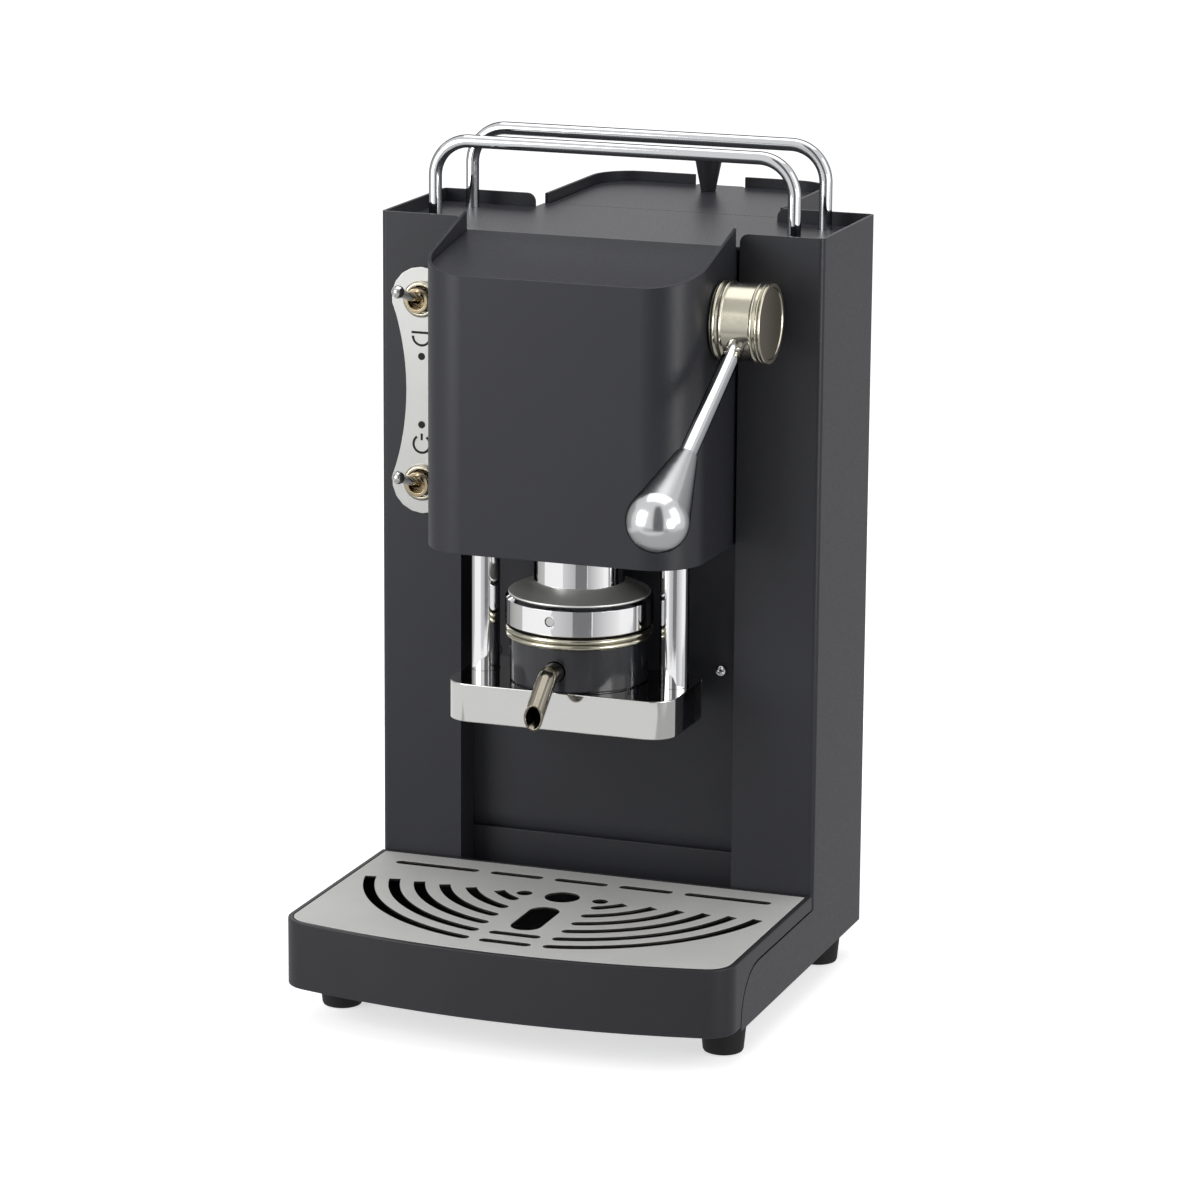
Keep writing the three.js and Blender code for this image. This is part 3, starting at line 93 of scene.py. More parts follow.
# %% [markdown]
# The camera stands two metres away, to the right of the front, and looks a little down. Its long
# lens keeps the machine's upright edges nearly parallel, as in a catalogue picture. Its place was
# found by matching the straight edges of the body.

# %% Camera
CAMERA_PLACE = at(720.0, -1990.7, 685.0)
AZIMUTH, TILT, ROLL = (math.radians(v) for v in (19.84, 13.49, 0.42))

camera_data = bpy.data.cameras.new("camera")
camera_data.lens = 143.97
camera_data.sensor_width = 36
camera_data.clip_start = 0.05
camera_data.clip_end = 20
camera = placed("camera", camera_data)
turn = (Matrix.Rotation(AZIMUTH, 4, "Z") @ Matrix.Rotation(math.pi / 2 - TILT, 4, "X")
        @ Matrix.Rotation(ROLL, 4, "Z"))
camera.matrix_world = Matrix.Translation(CAMERA_PLACE) @ turn
bpy.context.scene.camera = camera
print("camera at", tuple(round(v, 3) for v in CAMERA_PLACE))

# %% [markdown]
# Each material is a small node tree. One function adds a node with its settings and wires it up,
# and one turns the hex colour that a designer would quote into linear light.

# %% Node and colour helpers


def linear(hex_colour):
    """An sRGB hex colour as linear light, by the curve of the sRGB standard."""
    parts = [int(hex_colour[i:i + 2], 16) / 255 for i in (1, 3, 5)]
    return [p / 12.92 if p <= 0.04045 else ((p + 0.055) / 1.055) ** 2.4 for p in parts] + [1.0]


def node(tree, kind, inputs=None, **settings):
    """Adds a node. An input that is another node's output is linked, and any other is set."""
    made = tree.nodes.new("ShaderNode" + kind)
    for name, value in settings.items():
        setattr(made, name, value)
    for name, value in (inputs or {}).items():
        if isinstance(value, bpy.types.NodeSocket):
            tree.links.new(value, made.inputs[name])
        else:
            made.inputs[name].default_value = value
    return made


def new_material(name):
    made = bpy.data.materials.new(name)
    made.use_nodes = True
    tree = made.node_tree
    tree.nodes.clear()
    print("material", name)
    return made, tree, node(tree, "OutputMaterial")


def finish_material(made, tree, output, inputs):
    shader = node(tree, "BsdfPrincipled", inputs)
    tree.links.new(shader.outputs["BSDF"], output.inputs["Surface"])
    return made


# %% [markdown]
# No real surface is even. Noise of a known size in millimetres gives grain, smudges and brushing:
# it moves the tone or the roughness, or lifts the surface as a bump.

# %% Patterns
FACTOR, COLOUR_A, COLOUR_B, COLOUR_OUT = 0, 6, 7, 2  # a Mix node's sockets for colours
USUAL = {"From Min": 0.25, "From Max": 0.75}  # where most of a noise's values lie


def grain(tree, size_mm, detail=3.0, stretch=(1, 1, 1)):
    """Noise with spots about size_mm across, drawn out along an axis by a small stretch."""
    place = node(tree, "TexCoord").outputs["Object"]
    scaled = node(tree, "Mapping", {"Vector": place, "Scale": stretch}).outputs["Vector"]
    noise = {"Vector": scaled, "Scale": 1 / (size_mm * MM), "Detail": detail}
    return node(tree, "TexNoise", noise).outputs["Fac"]


def clouded(tree, size_mm, low, high, dark, light):
    """A tone that drifts between two colours in wide clouds, with shares from low to high."""
    slow = grain(tree, size_mm, 2)
    share = node(tree, "MapRange", {"Value": slow, **USUAL, "To Min": low, "To Max": high})
    tone = node(tree, "Mix", {FACTOR: share.outputs["Result"], COLOUR_A: linear(dark),
                              COLOUR_B: linear(light)}, data_type="RGBA")
    return {"Base Color": tone.outputs[COLOUR_OUT]}


def uneven(tree, pattern, low, high, depth_mm=0.0, strength=0.5):
    """A pattern moves the roughness from low to high, and lifts the surface if it has a depth."""
    gloss = node(tree, "MapRange", {"Value": pattern, **USUAL, "To Min": low, "To Max": high})
    inputs = {"Roughness": gloss.outputs["Result"]}
    if depth_mm:
        relief = node(tree, "Bump", {"Height": pattern, "Distance": depth_mm * MM,
                                     "Strength": strength})
        inputs["Normal"] = relief.outputs["Normal"]
    return inputs


# %% [markdown]
# The body is folded sheet steel with a charcoal powder coat. The powder melts into a skin with an
# orange-peel grain of about a millimetre, so the surface is matt from afar and breaks highlights
# into soft, wide patches. A slower noise moves the tone a little across a panel, and a lowered
# specular level gives the coat less shine than bare plastic. Mouldings have such a skin too.

# %% Powder coat


def skinned(name, dark, light, roughness, grain_mm, depth_mm, specular=0.5,
            cloud_mm=25, swing=0.05, detail=3, strength=0.4):
    """A coat or a moulded skin: grain breaks up the gloss, and wide clouds move the tone."""
    made, tree, output = new_material(name)
    fine = grain(tree, grain_mm, detail)
    return finish_material(made, tree, output, {
        **clouded(tree, cloud_mm, 0.3, 0.7, dark, light),
        **uneven(tree, fine, roughness - swing, roughness + swing, depth_mm, strength),
        "Specular IOR Level": specular,
    })


charcoal_coat = skinned("charcoal_powder_coat", "#2a2a2e", "#2f3035", 0.38, 0.9, 0.05, 0.23,
                        cloud_mm=60, swing=0.06, detail=4, strength=0.6)

# %% [markdown]
# Chrome plate is a thin mirror over polished steel. It has almost no roughness, and it looks white
# and black by turns because it only shows the studio round it. Smudges of a few millimetres move
# its roughness a little. Towards a rounded edge chrome mirrors less than polished steel does, which
# the shader's tint for grazing light gives. The group's columns, clamp ring and neck and the wall
# screws get a brighter copy of the chrome, whose lighter colour paints in brighter reflections than
# the thin bars show. The knob is polished by hand and mirrors softly, nickel is warmer and duller,
# and cast or machined parts are pale and nearly matt.

# %% Plated and polished metal


def plated(name, colour, low, high, size_mm=3.0, depth_mm=0.0, edge="#ffffff"):
    """Metal whose roughness wanders from low to high, and whose edges mirror less where tinted."""
    made, tree, output = new_material(name)
    return finish_material(made, tree, output, {
        "Base Color": linear(colour), "Metallic": 1.0, "Specular Tint": linear(edge),
        **uneven(tree, grain(tree, size_mm), low, high, depth_mm),
    })


chrome_plate = plated("chrome_plate", "#cbccce", 0.03, 0.08, edge="#3c3c3e")
satin_nickel = plated("satin_nickel_plate", "#b0ac9d", 0.16, 0.26, 1.2)
# The spout's tube is a darker copy of the nickel: its dark colour paints in the dark reflections it
# shows.
darkened_spout_tube = plated("spout_tube_painted_darker", "#857f74", 0.1, 0.2, 1.2)
# A brighter copy of the chrome: its lighter colour paints in brighter reflections on these parts.
painted_bright_chrome = plated("chrome_plate_painted_brighter", "#f0f0f1", 0.03, 0.08, edge="#4c4c4e")
polished_knob = plated("hand_polished_steel", "#c6c7c8", 0.17, 0.21, 4.0, edge="#2a2a2b")
aged_brass = plated("nickel_washed_brass", "#9d8f76", 0.14, 0.26, 1.0)
polished_steel = plated("polished_steel_plate", "#c8c8c6", 0.04, 0.09, 6.0)
cast_zinc = plated("zinc_plate", "#a9acae", 0.35, 0.5, 1.5, 0.02)
machined_aluminium = plated("machined_aluminium", "#a5a7a9", 0.32, 0.48, 0.8, 0.02)
cut_brass = plated("machined_brass", "#b9975a", 0.25, 0.4, 0.8, 0.02)

# %% [markdown]
# Turned steel keeps the fine rings that the lathe tool leaves, and shines in a soft fan. Rings
# follow the radius from the piece's own axis, so a Mapping node centres the pattern, which uses the
# distance from that axis.

# %% Turned steel


def turned_steel(name, colour, axis_place, across, pitch_mm):
    """Lathe rings round an axis. across has a 1 for each direction that the radius is taken in."""
    made, tree, output = new_material(name)
    place = node(tree, "TexCoord").outputs["Object"]
    shifted = [-c * keep for c, keep in zip(axis_place, across)]
    flat = node(tree, "Mapping", {"Vector": place, "Location": shifted, "Scale": across})
    radius = node(tree, "VectorMath", {0: flat.outputs["Vector"]}, operation="LENGTH")
    rings = node(tree, "TexNoise", {"W": radius.outputs["Value"], "Scale": 1 / (pitch_mm * MM),
                                    "Detail": 2}, noise_dimensions="1D").outputs["Fac"]
    return finish_material(made, tree, output, {
        "Base Color": linear(colour), "Metallic": 1.0,
        **uneven(tree, rings, 0.42, 0.56, 0.015, 0.6),
    })


turned_cone = turned_steel("turned_steel_cone", "#cfcfcb", at(*AXIS), (1, 1, 0), 0.5)
# The hub's end face keeps real lathe rings, but its colour is darker than the drum's: painted
# shade.
turned_and_shaded_hub_face = turned_steel("nickel_face_painted_darker", "#736d63", at(0, GROUP, LEVER.z),
                               (0, 1, 1), 0.45)

# %% [markdown]
# The grille is stainless sheet, brushed from side to side and laser cut. Brushing is noise drawn
# out along one axis: it spreads reflections across the lines and leaves the metal a soft light
# grey. It is coarse here and scatters almost like paper, so the metal is less than a full mirror.
# The slots' walls are a dark straw grey, partly the oxide that the laser's heat leaves and partly
# painted shade inside the slots. The switch plate is brushed upright and finer, so it mirrors more.

# %% Brushed stainless


def brushed_steel(name, dark, light, low, high, stretch, mirror, depth_mm=0.02):
    made, tree, output = new_material(name)
    lines = grain(tree, 0.45, 3, stretch)
    return finish_material(made, tree, output, {
        **clouded(tree, 30, 0.2, 0.8, dark, light), "Metallic": mirror,
        **uneven(tree, lines, low, high, depth_mm),
    })


brushed_grille = brushed_steel("brushed_stainless_grille", "#c6c6c4", "#d0d0ce",
                               0.6, 0.75, (0.02, 1, 1), 0.5)
brushed_plate = brushed_steel("brushed_stainless_plate", "#a2a2a0", "#aaaaa8",
                              0.3, 0.4, (1, 1, 0.02), 0.9, 0.008)
# Dark slot walls: partly laser oxide, partly painted shade for the dim insides of the slots.
slot_wall_oxide_and_shade = plated("slot_wall_oxide_and_painted_shade", "#4a4743", 0.4, 0.55, 0.4, 0.01)

# %% [markdown]
# The plastics and rubber are moulded. The tray is satin and smooth, the pod seat is polished, and
# the feet are soft black rubber that scatters light and shows only a weak sheen. Ink is matt and
# darker than the coat. Inside are varnished copper wire and a clear tank that bends light.

# %% Plastics, rubber and what is inside
satin_abs = skinned("satin_black_abs", "#29292c", "#2f2f33", 0.4, 0.8, 0.02, 0.25)
gloss_phenolic = skinned("polished_black_phenolic", "#1e1f23", "#232429", 0.16, 2.0, 0.01)
black_rubber = skinned("black_rubber", "#18181a", "#1e1e20", 0.62, 0.6, 0.04, 0.25)
dark_ink = skinned("dark_printing_ink", "#0e0e0f", "#131314", 0.5, 0.6, 0.01, 0.2)
copper_winding = plated("varnished_copper", "#a86a42", 0.3, 0.45, 0.5, 0.05)

made, tree, output = new_material("clear_tank_plastic")
clear_plastic = finish_material(made, tree, output, {
    "Base Color": linear("#dfe8ea"), **uneven(tree, grain(tree, 8), 0.08, 0.16),
    "Transmission Weight": 0.85, "IOR": 1.49,
})

# %% [markdown]
# Every piece is made with the same few moves: open it in edit mode with chosen faces or edges
# selected, run an operator, and close it. Selecting by place keeps the choice clear and makes it
# come out the same on every run. A mesh that was spun or drawn out has doubled corners and may be
# inside out, so it is sealed first.

# %% Selecting by place
MERGE = 1e-6


def only(obj):
    bpy.ops.object.select_all(action="DESELECT")
    obj.select_set(True)
    bpy.context.view_layer.objects.active = obj


def middle(item):
    """The middle of a face or edge, in millimetres."""
    total = sum((v.co for v in item.verts), Vector()) / len(item.verts)
    return Vector((total.x, total.y - FRONT, total.z)) / MM


def everything(item):
    return True


def edit(obj, kind="FACE", test=everything):
    """Opens edit mode with all faces selected, or with what passes the test."""
    only(obj)
    bpy.ops.object.mode_set(mode="EDIT")
    bpy.ops.mesh.select_mode(type=kind)
    bpy.ops.mesh.select_all(action="DESELECT")
    mesh = bmesh.from_edit_mesh(obj.data)
    for item in {"FACE": mesh.faces, "EDGE": mesh.edges}[kind]:
        if test(item):
            item.select_set(True)
    bmesh.update_edit_mesh(obj.data)


def close():
    bpy.ops.object.mode_set(mode="OBJECT")


def seal():
    """Merges corners that coincide, turns all faces outwards, and closes the piece."""
    bpy.ops.mesh.select_all(action="SELECT")
    bpy.ops.mesh.remove_doubles(threshold=MERGE)
    bpy.ops.mesh.normals_make_consistent(inside=False)
    close()


# %% [markdown]
# No made edge is perfectly sharp, and a thin line of light on it makes metal look real. So every
# piece ends with a small bevel, smooth shading, and weighted normals that keep flat faces flat.
# Then it gets its material, and is tied to the frame pieces that it stands for. A frame piece that
# has the right form is copied and refined.

# %% Finishing a piece
SMOOTH = 35


def modified(obj, kind, **settings):
    """Adds a modifier and applies it."""
    only(obj)
    made = obj.modifiers.new(kind.lower(), kind)
    for name, value in settings.items():
        setattr(made, name, value)
    bpy.ops.object.modifier_apply(modifier=made.name)
    return obj


def softened(obj, width_mm, segments=3, smooth=SMOOTH):
    """Rounds the sharp edges a little, and shades smooth what bends less than smooth degrees."""
    if width_mm:
        modified(obj, "BEVEL", width=width_mm * MM, segments=segments, limit_method="ANGLE",
                 angle_limit=math.radians(30), harden_normals=False)
    only(obj)
    bpy.ops.object.shade_smooth_by_angle(angle=math.radians(smooth))
    return modified(obj, "WEIGHTED_NORMAL", keep_sharp=True)


def dress(obj, body, slot_name, material, *nodes):
    """Gives a finished piece its material, and ties it to the frame pieces it stands for."""
    obj.data.materials.clear()
    obj.data.materials.append(material)
    if nodes:
        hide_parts(*nodes)
    print(obj.name, "has", len(obj.data.polygons), "faces")
    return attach(obj, body)


def refined(name, node_name, width_mm, segments=3, smooth=SMOOTH):
    """A finer copy of a frame piece: its loose triangles are merged to flat faces first."""
    made = placed(name, frame["nodes"][node_name].data.copy())
    edit(made)
    bpy.ops.mesh.remove_doubles(threshold=2 * MERGE)
    bpy.ops.mesh.dissolve_limited(angle_limit=math.radians(1))
    close()
    return softened(made, width_mm, segments, smooth)


def coated(name, node_name, edge, body="body", smooth=SMOOTH):
    """A refined and powder-coated copy of a sheet piece."""
    sheet = refined(name, node_name, edge, smooth=smooth)
    dress(sheet, body, "powder_coat", charcoal_coat, node_name)


# %% [markdown]
# The sides are two folded shells. Each runs from a front strip round a tight bend along the side to
# a strip at the back, with a low arm that reaches forward beside the tray. Laser-cut sheet has
# square edges under its paint, so the rounding is small: it only has to catch a thin line of light.

# %% Side shells
SHELL_EDGE = 0.35
for hand in ("left", "right"):
    coated(f"side_sheet_{hand}", f"side_shell_{hand}", SHELL_EDGE)

# %% [markdown]
# Between the strips stands the recess wall, with a joggle near its foot that tucks behind the base
# pan's upstand. The joggle is a shallow bend, so the wall is shaded smooth only below 15 degrees,
# and the slope keeps its own darker tone. The cup plate closes the top and runs back over the
# housing.

# %% Recess wall, base pan and cup plate
PLATE_EDGE = 0.3
coated("recess_sheet", "recess_wall", PLATE_EDGE, smooth=15)
coated("base_sheet", "base_pan", PLATE_EDGE)
coated("cup_plate_sheet", "cup_plate", PLATE_EDGE)

# %% [markdown]
# A block is a cube at its size and place. A round piece is spun from its profile, which is drawn
# once as pairs of radius and height, as on a lathe. A hole is a second shape, cut out by a Boolean
# modifier.

# %% Blocks, spun pieces and cuts
WIDE, MEDIUM, SMALL = 96, 64, 48  # steps round a piece, by its size


def block(name, low, high):
    """A box between two corners given in millimetres."""
    low, high = at(*low), at(*high)
    bpy.ops.mesh.primitive_cube_add(size=1, location=(low + high) / 2, scale=high - low)
    made = bpy.context.object
    made.name = name
    bpy.ops.object.transform_apply(location=True, rotation=True, scale=True)
    return made


def drawn(name, points, edges=(), faces=()):
    """A mesh object from places in millimetres, as the start for an operator."""
    data = bpy.data.meshes.new(name)
    data.from_pydata([at(*p) for p in points], list(edges), list(faces))
    return placed(name, data)


def spun(name, profile, origin, axis="Z", steps=WIDE):
    """Spins a profile of (radius, height) pairs round an axis through a place in millimetres."""
    x, y, z = origin
    lay = {"X": lambda r, h: (x + h, y + r, z), "Y": lambda r, h: (x + r, y + h, z),
           "Z": lambda r, h: (x + r, y, z + h)}[axis]
    made = drawn(name, [lay(r, h) for r, h in profile],
                 edges=[(i, i + 1) for i in range(len(profile) - 1)])
    edit(made, "EDGE")
    way = {"X": (1, 0, 0), "Y": (0, 1, 0), "Z": (0, 0, 1)}[axis]
    bpy.ops.mesh.spin(steps=steps, angle=2 * math.pi, center=at(*origin), axis=way)
    seal()
    return made


def cut(obj, place, normal, **sides):
    """Cuts a piece along a plane, and keeps the side that sides leaves."""
    edit(obj)
    bpy.ops.mesh.bisect(plane_co=at(*place), plane_no=normal, **sides)
    close()


def straight(radius, start, end):
    """The profile of a plain bar, or of the drill for a plain hole."""
    return [(0, start), (radius, start), (radius, end), (0, end)]


def less(obj, tool):
    """Cuts the tool's shape out of obj."""
    modified(obj, "BOOLEAN", operation="DIFFERENCE", solver="EXACT", object=tool)
    bpy.data.objects.remove(tool, do_unlink=True)


# %% [markdown]
# Two small screws hold the recess wall. Each has a low domed head with a cross cut into it: at this
# size the cross is what makes it glint.

# %% Wall screws
DOME = ((0, 0), (1, 0), (1, 0.35), (0.85, 0.75), (0.5, 0.96), (0, 1))  # in radii and heights
CROSS_ARM, CROSS_HALF, CROSS_DEPTH = 1.7, 0.4, 0.55

for hand in ("left", "right"):
    low, high = span(f"wall_screw_{hand}")
    x, z = (low.x + high.x) / 2, (low.z + high.z) / 2
    radius, tall = (high.x - low.x) / 2, high.y - low.y
    head = spun(f"wall_screw_head_{hand}", [(r * radius, -h * tall) for r, h in DOME],
                (x, high.y, z), axis="Y", steps=SMALL)
    y0, y1 = low.y - 1, low.y + CROSS_DEPTH * tall
    for wide, high_up in ((CROSS_ARM, CROSS_HALF), (CROSS_HALF, CROSS_ARM)):
        less(head, block("cross", (x - wide, y0, z - high_up), (x + wide, y1, z + high_up)))
    softened(head, 0.08, 2)
    dress(head, "body", "zinc_plated_steel", painted_bright_chrome, f"wall_screw_{hand}")

# %% [markdown]
# The hood is one sheet wrapped round two wide bends. It starts as a box: the two front uprights are
# bevelled to the bend radius, the back, bottom and top are taken away, a sloping cut trims the side
# walls, and Solidify gives the sheet its thickness. Room is cut for the cup plate and the shaft.

# %% Hood wrap
hood_low, hood_high = span("hood")
HOOD_CORNER = 23
HOOD_SHEET = 1.5
HOOD_FRONT_TOP = 333
SPARE = 8  # the box is taller, for the sloping cut
CUP_PLATE_ROOM = ((-80, -0.3, 341.2), (80, 40, 360))
SHAFT_HOLE = 9.5


def upright(edge):
    a, b = (v.co for v in edge.verts)
    return abs(a.x - b.x) < MERGE and abs(a.y - b.y) < MERGE


wrap = block("hood_wrap", hood_low, hood_high + Vector((0, 0, SPARE)))
edit(wrap, "EDGE", lambda e: upright(e) and middle(e).y < 0)
bpy.ops.mesh.bevel(offset=HOOD_CORNER * MM, segments=28, affect="EDGES")
close()
edit(wrap, "FACE", lambda f: abs(f.normal.z) > 0.9 or f.normal.y > 0.9)
bpy.ops.mesh.delete(type="FACE")
close()
slope = (0, -(hood_high.z - HOOD_FRONT_TOP) / -hood_low.y, 1)
cut(wrap, (0, hood_low.y, HOOD_FRONT_TOP), slope, clear_outer=True)
modified(wrap, "SOLIDIFY", thickness=HOOD_SHEET * MM, offset=-1)
less(wrap, block("cup_plate_room", *CUP_PLATE_ROOM))
less(wrap, spun("shaft_hole", straight(SHAFT_HOLE, 50, 80), (0, GROUP, LEVER.z), "X", SMALL))
softened(wrap, SHELL_EDGE)
print("hood wrap", len(wrap.data.polygons), "faces")

# %% [markdown]
# The hood's top is a plate of its own, sunk a little below the rim, and a floor closes it below.
# Both have the plan of the hood's inside, so one outline of arcs is drawn out twice. Two sloping
# cuts leave the top as a thin plate.

# %% Flat outlines


def arc(x, y, radius, start, end, steps):
    """Points on an arc, with its angles in degrees."""
    turns = [math.radians(start + (end - start) * i / steps) for i in range(steps + 1)]
    return [(x + radius * math.cos(t), y + radius * math.sin(t)) for t in turns]


def prism(name, outline, axis, start, end):
    """A closed outline drawn out along Z, as a lying plate, or along Y, as a standing one."""
    points = [(a, b, start) if axis == "Z" else (a, start, b) for a, b in outline]
    made = drawn(name, points, faces=[range(len(points))])
    edit(made)
    move = Vector((0, axis == "Y", axis == "Z")) * (end - start) * MM
    bpy.ops.mesh.extrude_region_move(TRANSFORM_OT_translate={"value": move})
    seal()
    return made


def joined(name, *parts):
    """Makes one object of several separate shapes of one piece."""
    only(parts[0])
    for part in parts[1:]:
        part.select_set(True)
    bpy.ops.object.join()
    parts[0].name = name
    return parts[0]


# %% Hood top and floor
SHEET_GAP = 0.15  # between the wrap and what it holds
SUNK_TOP, SUNK_BOTTOM = 343.0, 341.5  # of the top plate, at the body
SUNK_STEP = 0.8  # from the front rim down to the plate
FLOOR = (210, 211.5)
FLOOR_DRILL = (200, 220)
NECK_HOLE, COLUMN_HOLE = 21.7, 6.8
COLUMNS = {hand: (centre(f"column_{hand}").x, GROUP, 0) for hand in ("left", "right")}

half = -hood_low.x - HOOD_SHEET - SHEET_GAP
front = hood_low.y + HOOD_SHEET + SHEET_GAP
bend = HOOD_CORNER - HOOD_SHEET
plan = [(half, 0), *arc(half - bend, front + bend, bend, 0, -90, 24),
        *arc(bend - half, front + bend, bend, -90, -180, 24), (-half, 0)]
top = prism("hood_top", plan, "Z", 325, 350)
slope = (0, -(SUNK_TOP - HOOD_FRONT_TOP + SUNK_STEP) / -hood_low.y, 1)
cut(top, (0, 0, SUNK_TOP), slope, clear_outer=True, use_fill=True)
cut(top, (0, 0, SUNK_BOTTOM), slope, clear_inner=True, use_fill=True)
softened(top, PLATE_EDGE)

floor = prism("hood_floor", plan, "Z", *FLOOR)
less(floor, spun("neck_hole", straight(NECK_HOLE, *FLOOR_DRILL), AXIS))
for place in COLUMNS.values():
    less(floor, spun("column_hole", straight(COLUMN_HOLE, *FLOOR_DRILL), place, steps=SMALL))
softened(floor, 0.2)
hood = joined("hood_sheet", wrap, top, floor)
dress(hood, "body", "powder_coat", charcoal_coat, "hood")

# %% [markdown]
# Two chromed columns carry the lower block. They are plain bars with a tiny chamfer at each end,
# spun in enough steps for a clean mirror.

# %% Columns
CHAMFER = 0.4
for hand, place in COLUMNS.items():
    low, high = span(f"column_{hand}")
    radius = (high.x - low.x) / 2
    bar = spun(f"column_bar_{hand}", [
        (0, low.z), (radius - CHAMFER, low.z), (radius, low.z + CHAMFER),
        (radius, high.z - CHAMFER), (radius - CHAMFER, high.z), (0, high.z),
    ], place, steps=MEDIUM)
    dress(softened(bar, 0), "body", "chrome", painted_bright_chrome, f"column_{hand}")
print("columns", round(2 * radius, 2), "mm thick")

# %% [markdown]
# The lower block is one thick steel plate with wide corners, polished until it mirrors the machine
# above it. A flat outline is drawn out to its thickness, and the rims get the small round that a
# polishing wheel leaves, which shows as a thin bright line.

# %% Lower block
block_low, block_high = span("lower_block")
BLOCK_CORNER = 12.3
BLOCK_EDGE = 0.5
COLUMN_SEAT = 6.6
SEAT_DRILL = (134, 160)


def rounded_plan(low, high, radius):
    corners = [(high.x - radius, high.y - radius, 0), (low.x + radius, high.y - radius, 90),
               (low.x + radius, low.y + radius, 180), (high.x - radius, low.y + radius, 270)]
    return [p for x, y, start in corners for p in arc(x, y, radius, start, start + 90, 20)]


lower = prism("lower_block_plate", rounded_plan(block_low, block_high, BLOCK_CORNER), "Z",
              block_low.z, block_high.z)
for place in COLUMNS.values():
    less(lower, spun("column_seat", straight(COLUMN_SEAT, *SEAT_DRILL), place, steps=MEDIUM))
dress(softened(lower, BLOCK_EDGE), "body", "chrome", polished_steel, "lower_block")
print("lower block", [round(v, 1) for v in block_high - block_low])

# %% [markdown]
# The pod seat, the seat ring and the sliding head are turned pieces on one axis. The steps in
# their profiles are what the eye reads as separate parts, so the thin gaps between them are kept.
# The spout leaves the seat through a bore, which a bar along a run of points cuts, and the same
# move makes the spout.

# %% Bars along a run of points


def from_curve(name, runs, cyclic=False, **settings):
    """A mesh from a curve along runs of places in metres, with the curve's own bevel."""
    data = bpy.data.curves.new(name, "CURVE")
    for key, value in settings.items():
        setattr(data, key, value)
    for run in runs:
        spline = data.splines.new("POLY")
        spline.points.add(len(run) - 1)
        for spot, place in zip(spline.points, run):
            spot.co = (*place, 1)
        spline.use_cyclic_u = cyclic
    made = placed(name, data)
    only(made)
    bpy.ops.object.convert(target="MESH")
    return made


def wire(name, points, radius, capped=True):
    """A round bar, or a tube without caps, along a run of places in millimetres."""
    made = from_curve(name, [[at(*p) for p in points]], dimensions="3D",
                      bevel_depth=radius * MM, bevel_resolution=10, use_fill_caps=capped)
    edit(made)
    seal()
    return made


# %% Pod cup and seat ring
cup_low, cup_high = span("pod_cup")
CUP = (cup_high.x - cup_low.x) / 2
STEP_IN, STEP_UP, CUP_RIM = 0.9, 0.6, 0.3  # a step below, a chamfer above
POD, POD_FLOOR = 22.6, cup_high.z - 4.8  # the hollow for the pod
DRAIN, DRAIN_FLOOR = 6, cup_high.z - 15
SPOUT_HEIGHT = cup_low.z + 23.5
SPOUT_BORE = 4.8
foot = block_high.z

cup = spun("pod_seat", [
    (0, foot), (CUP - STEP_IN, foot), (CUP - STEP_IN, foot + STEP_UP), (CUP, foot + STEP_UP),
    (CUP, cup_high.z - CUP_RIM), (CUP - CUP_RIM, cup_high.z), (POD, cup_high.z),
    (POD, POD_FLOOR), (DRAIN, POD_FLOOR), (DRAIN, DRAIN_FLOOR), (0, DRAIN_FLOOR),
], AXIS)
less(cup, wire("spout_bore", [(0, -70, SPOUT_HEIGHT), (0, -30, SPOUT_HEIGHT)], SPOUT_BORE))
dress(softened(cup, 0.25), "body", "gloss_black", gloss_phenolic, "pod_cup")

low, high = span("seat_ring")
RING = (high.x - low.x) / 2
RING_BORE = RING - 9.3
RIDGE = (high.z - low.z) / 2  # two rounded ridges make its height
ridges = [p for i in (0, 1)
          for p in arc(RING - RIDGE / 2, low.z + RIDGE * (i + 0.5), RIDGE / 2, -90, 90, 8)]
seat = spun("seat_ring_turned", [(RING_BORE, low.z), *ridges, (RING_BORE, high.z),
                                 (RING_BORE, low.z)], AXIS)
dress(softened(seat, 0), "body", "nickel", satin_nickel, "seat_ring")
print("pod cup radius", round(CUP, 2), "seat ring radius", round(RING, 2))

# %% [markdown]
# The spout is a bent steel tube, cut off upright at its mouth. The cut is a bisect, and Solidify
# gives the tube its wall, so that the eye finds a dark bore with a bright rim.

# %% Spout
low, high = span("spout")
SPOUT = (high.x - low.x) / 2
SPOUT_WALL = 1.0
FALL = 39  # degrees that the mouth points down
BEND = 9
SPOUT_ARM = 24  # length of each straight end
bend_front = GROUP - CUP - 6

run = [(0, GROUP - SPOUT_ARM, SPOUT_HEIGHT)]
for t in (math.radians(FALL * i / 16) for i in range(17)):
    run.append((0, bend_front - BEND * math.sin(t), SPOUT_HEIGHT - BEND * (1 - math.cos(t))))
_, y, z = run[-1]
fall = math.radians(FALL)
run.append((0, y - SPOUT_ARM * math.cos(fall), z - SPOUT_ARM * math.sin(fall)))
spout = wire("spout_tube", run, SPOUT, capped=False)
cut(spout, (0, low.y, 0), (0, -1, 0), clear_outer=True)
modified(spout, "SOLIDIFY", thickness=SPOUT_WALL * MM, offset=-1)
dress(softened(spout, 0.2), "body", "nickel", darkened_spout_tube, "spout")
print("spout", round(2 * SPOUT, 1), "mm thick, falling at", FALL, "degrees")

# %% [markdown]
# The clamp ring is a wide chromed band. A grub screw locks it, in a hole that is drilled towards
# the axis. Above it stand the head, a turned cone with fine rings, and the bright round neck.

# %% Clamp ring and its grub screw
clamp_low, clamp_high = span("clamp_ring")
CLAMP = (clamp_high.x - clamp_low.x) / 2
CLAMP_BORE = 29.5
CLAMP_FOOT, CLAMP_TOP = 0.5, 1.4  # chamfers
GRUB_HOLE = 2.3
GRUB_DRILL = (28, 40)  # from and to, out from the axis

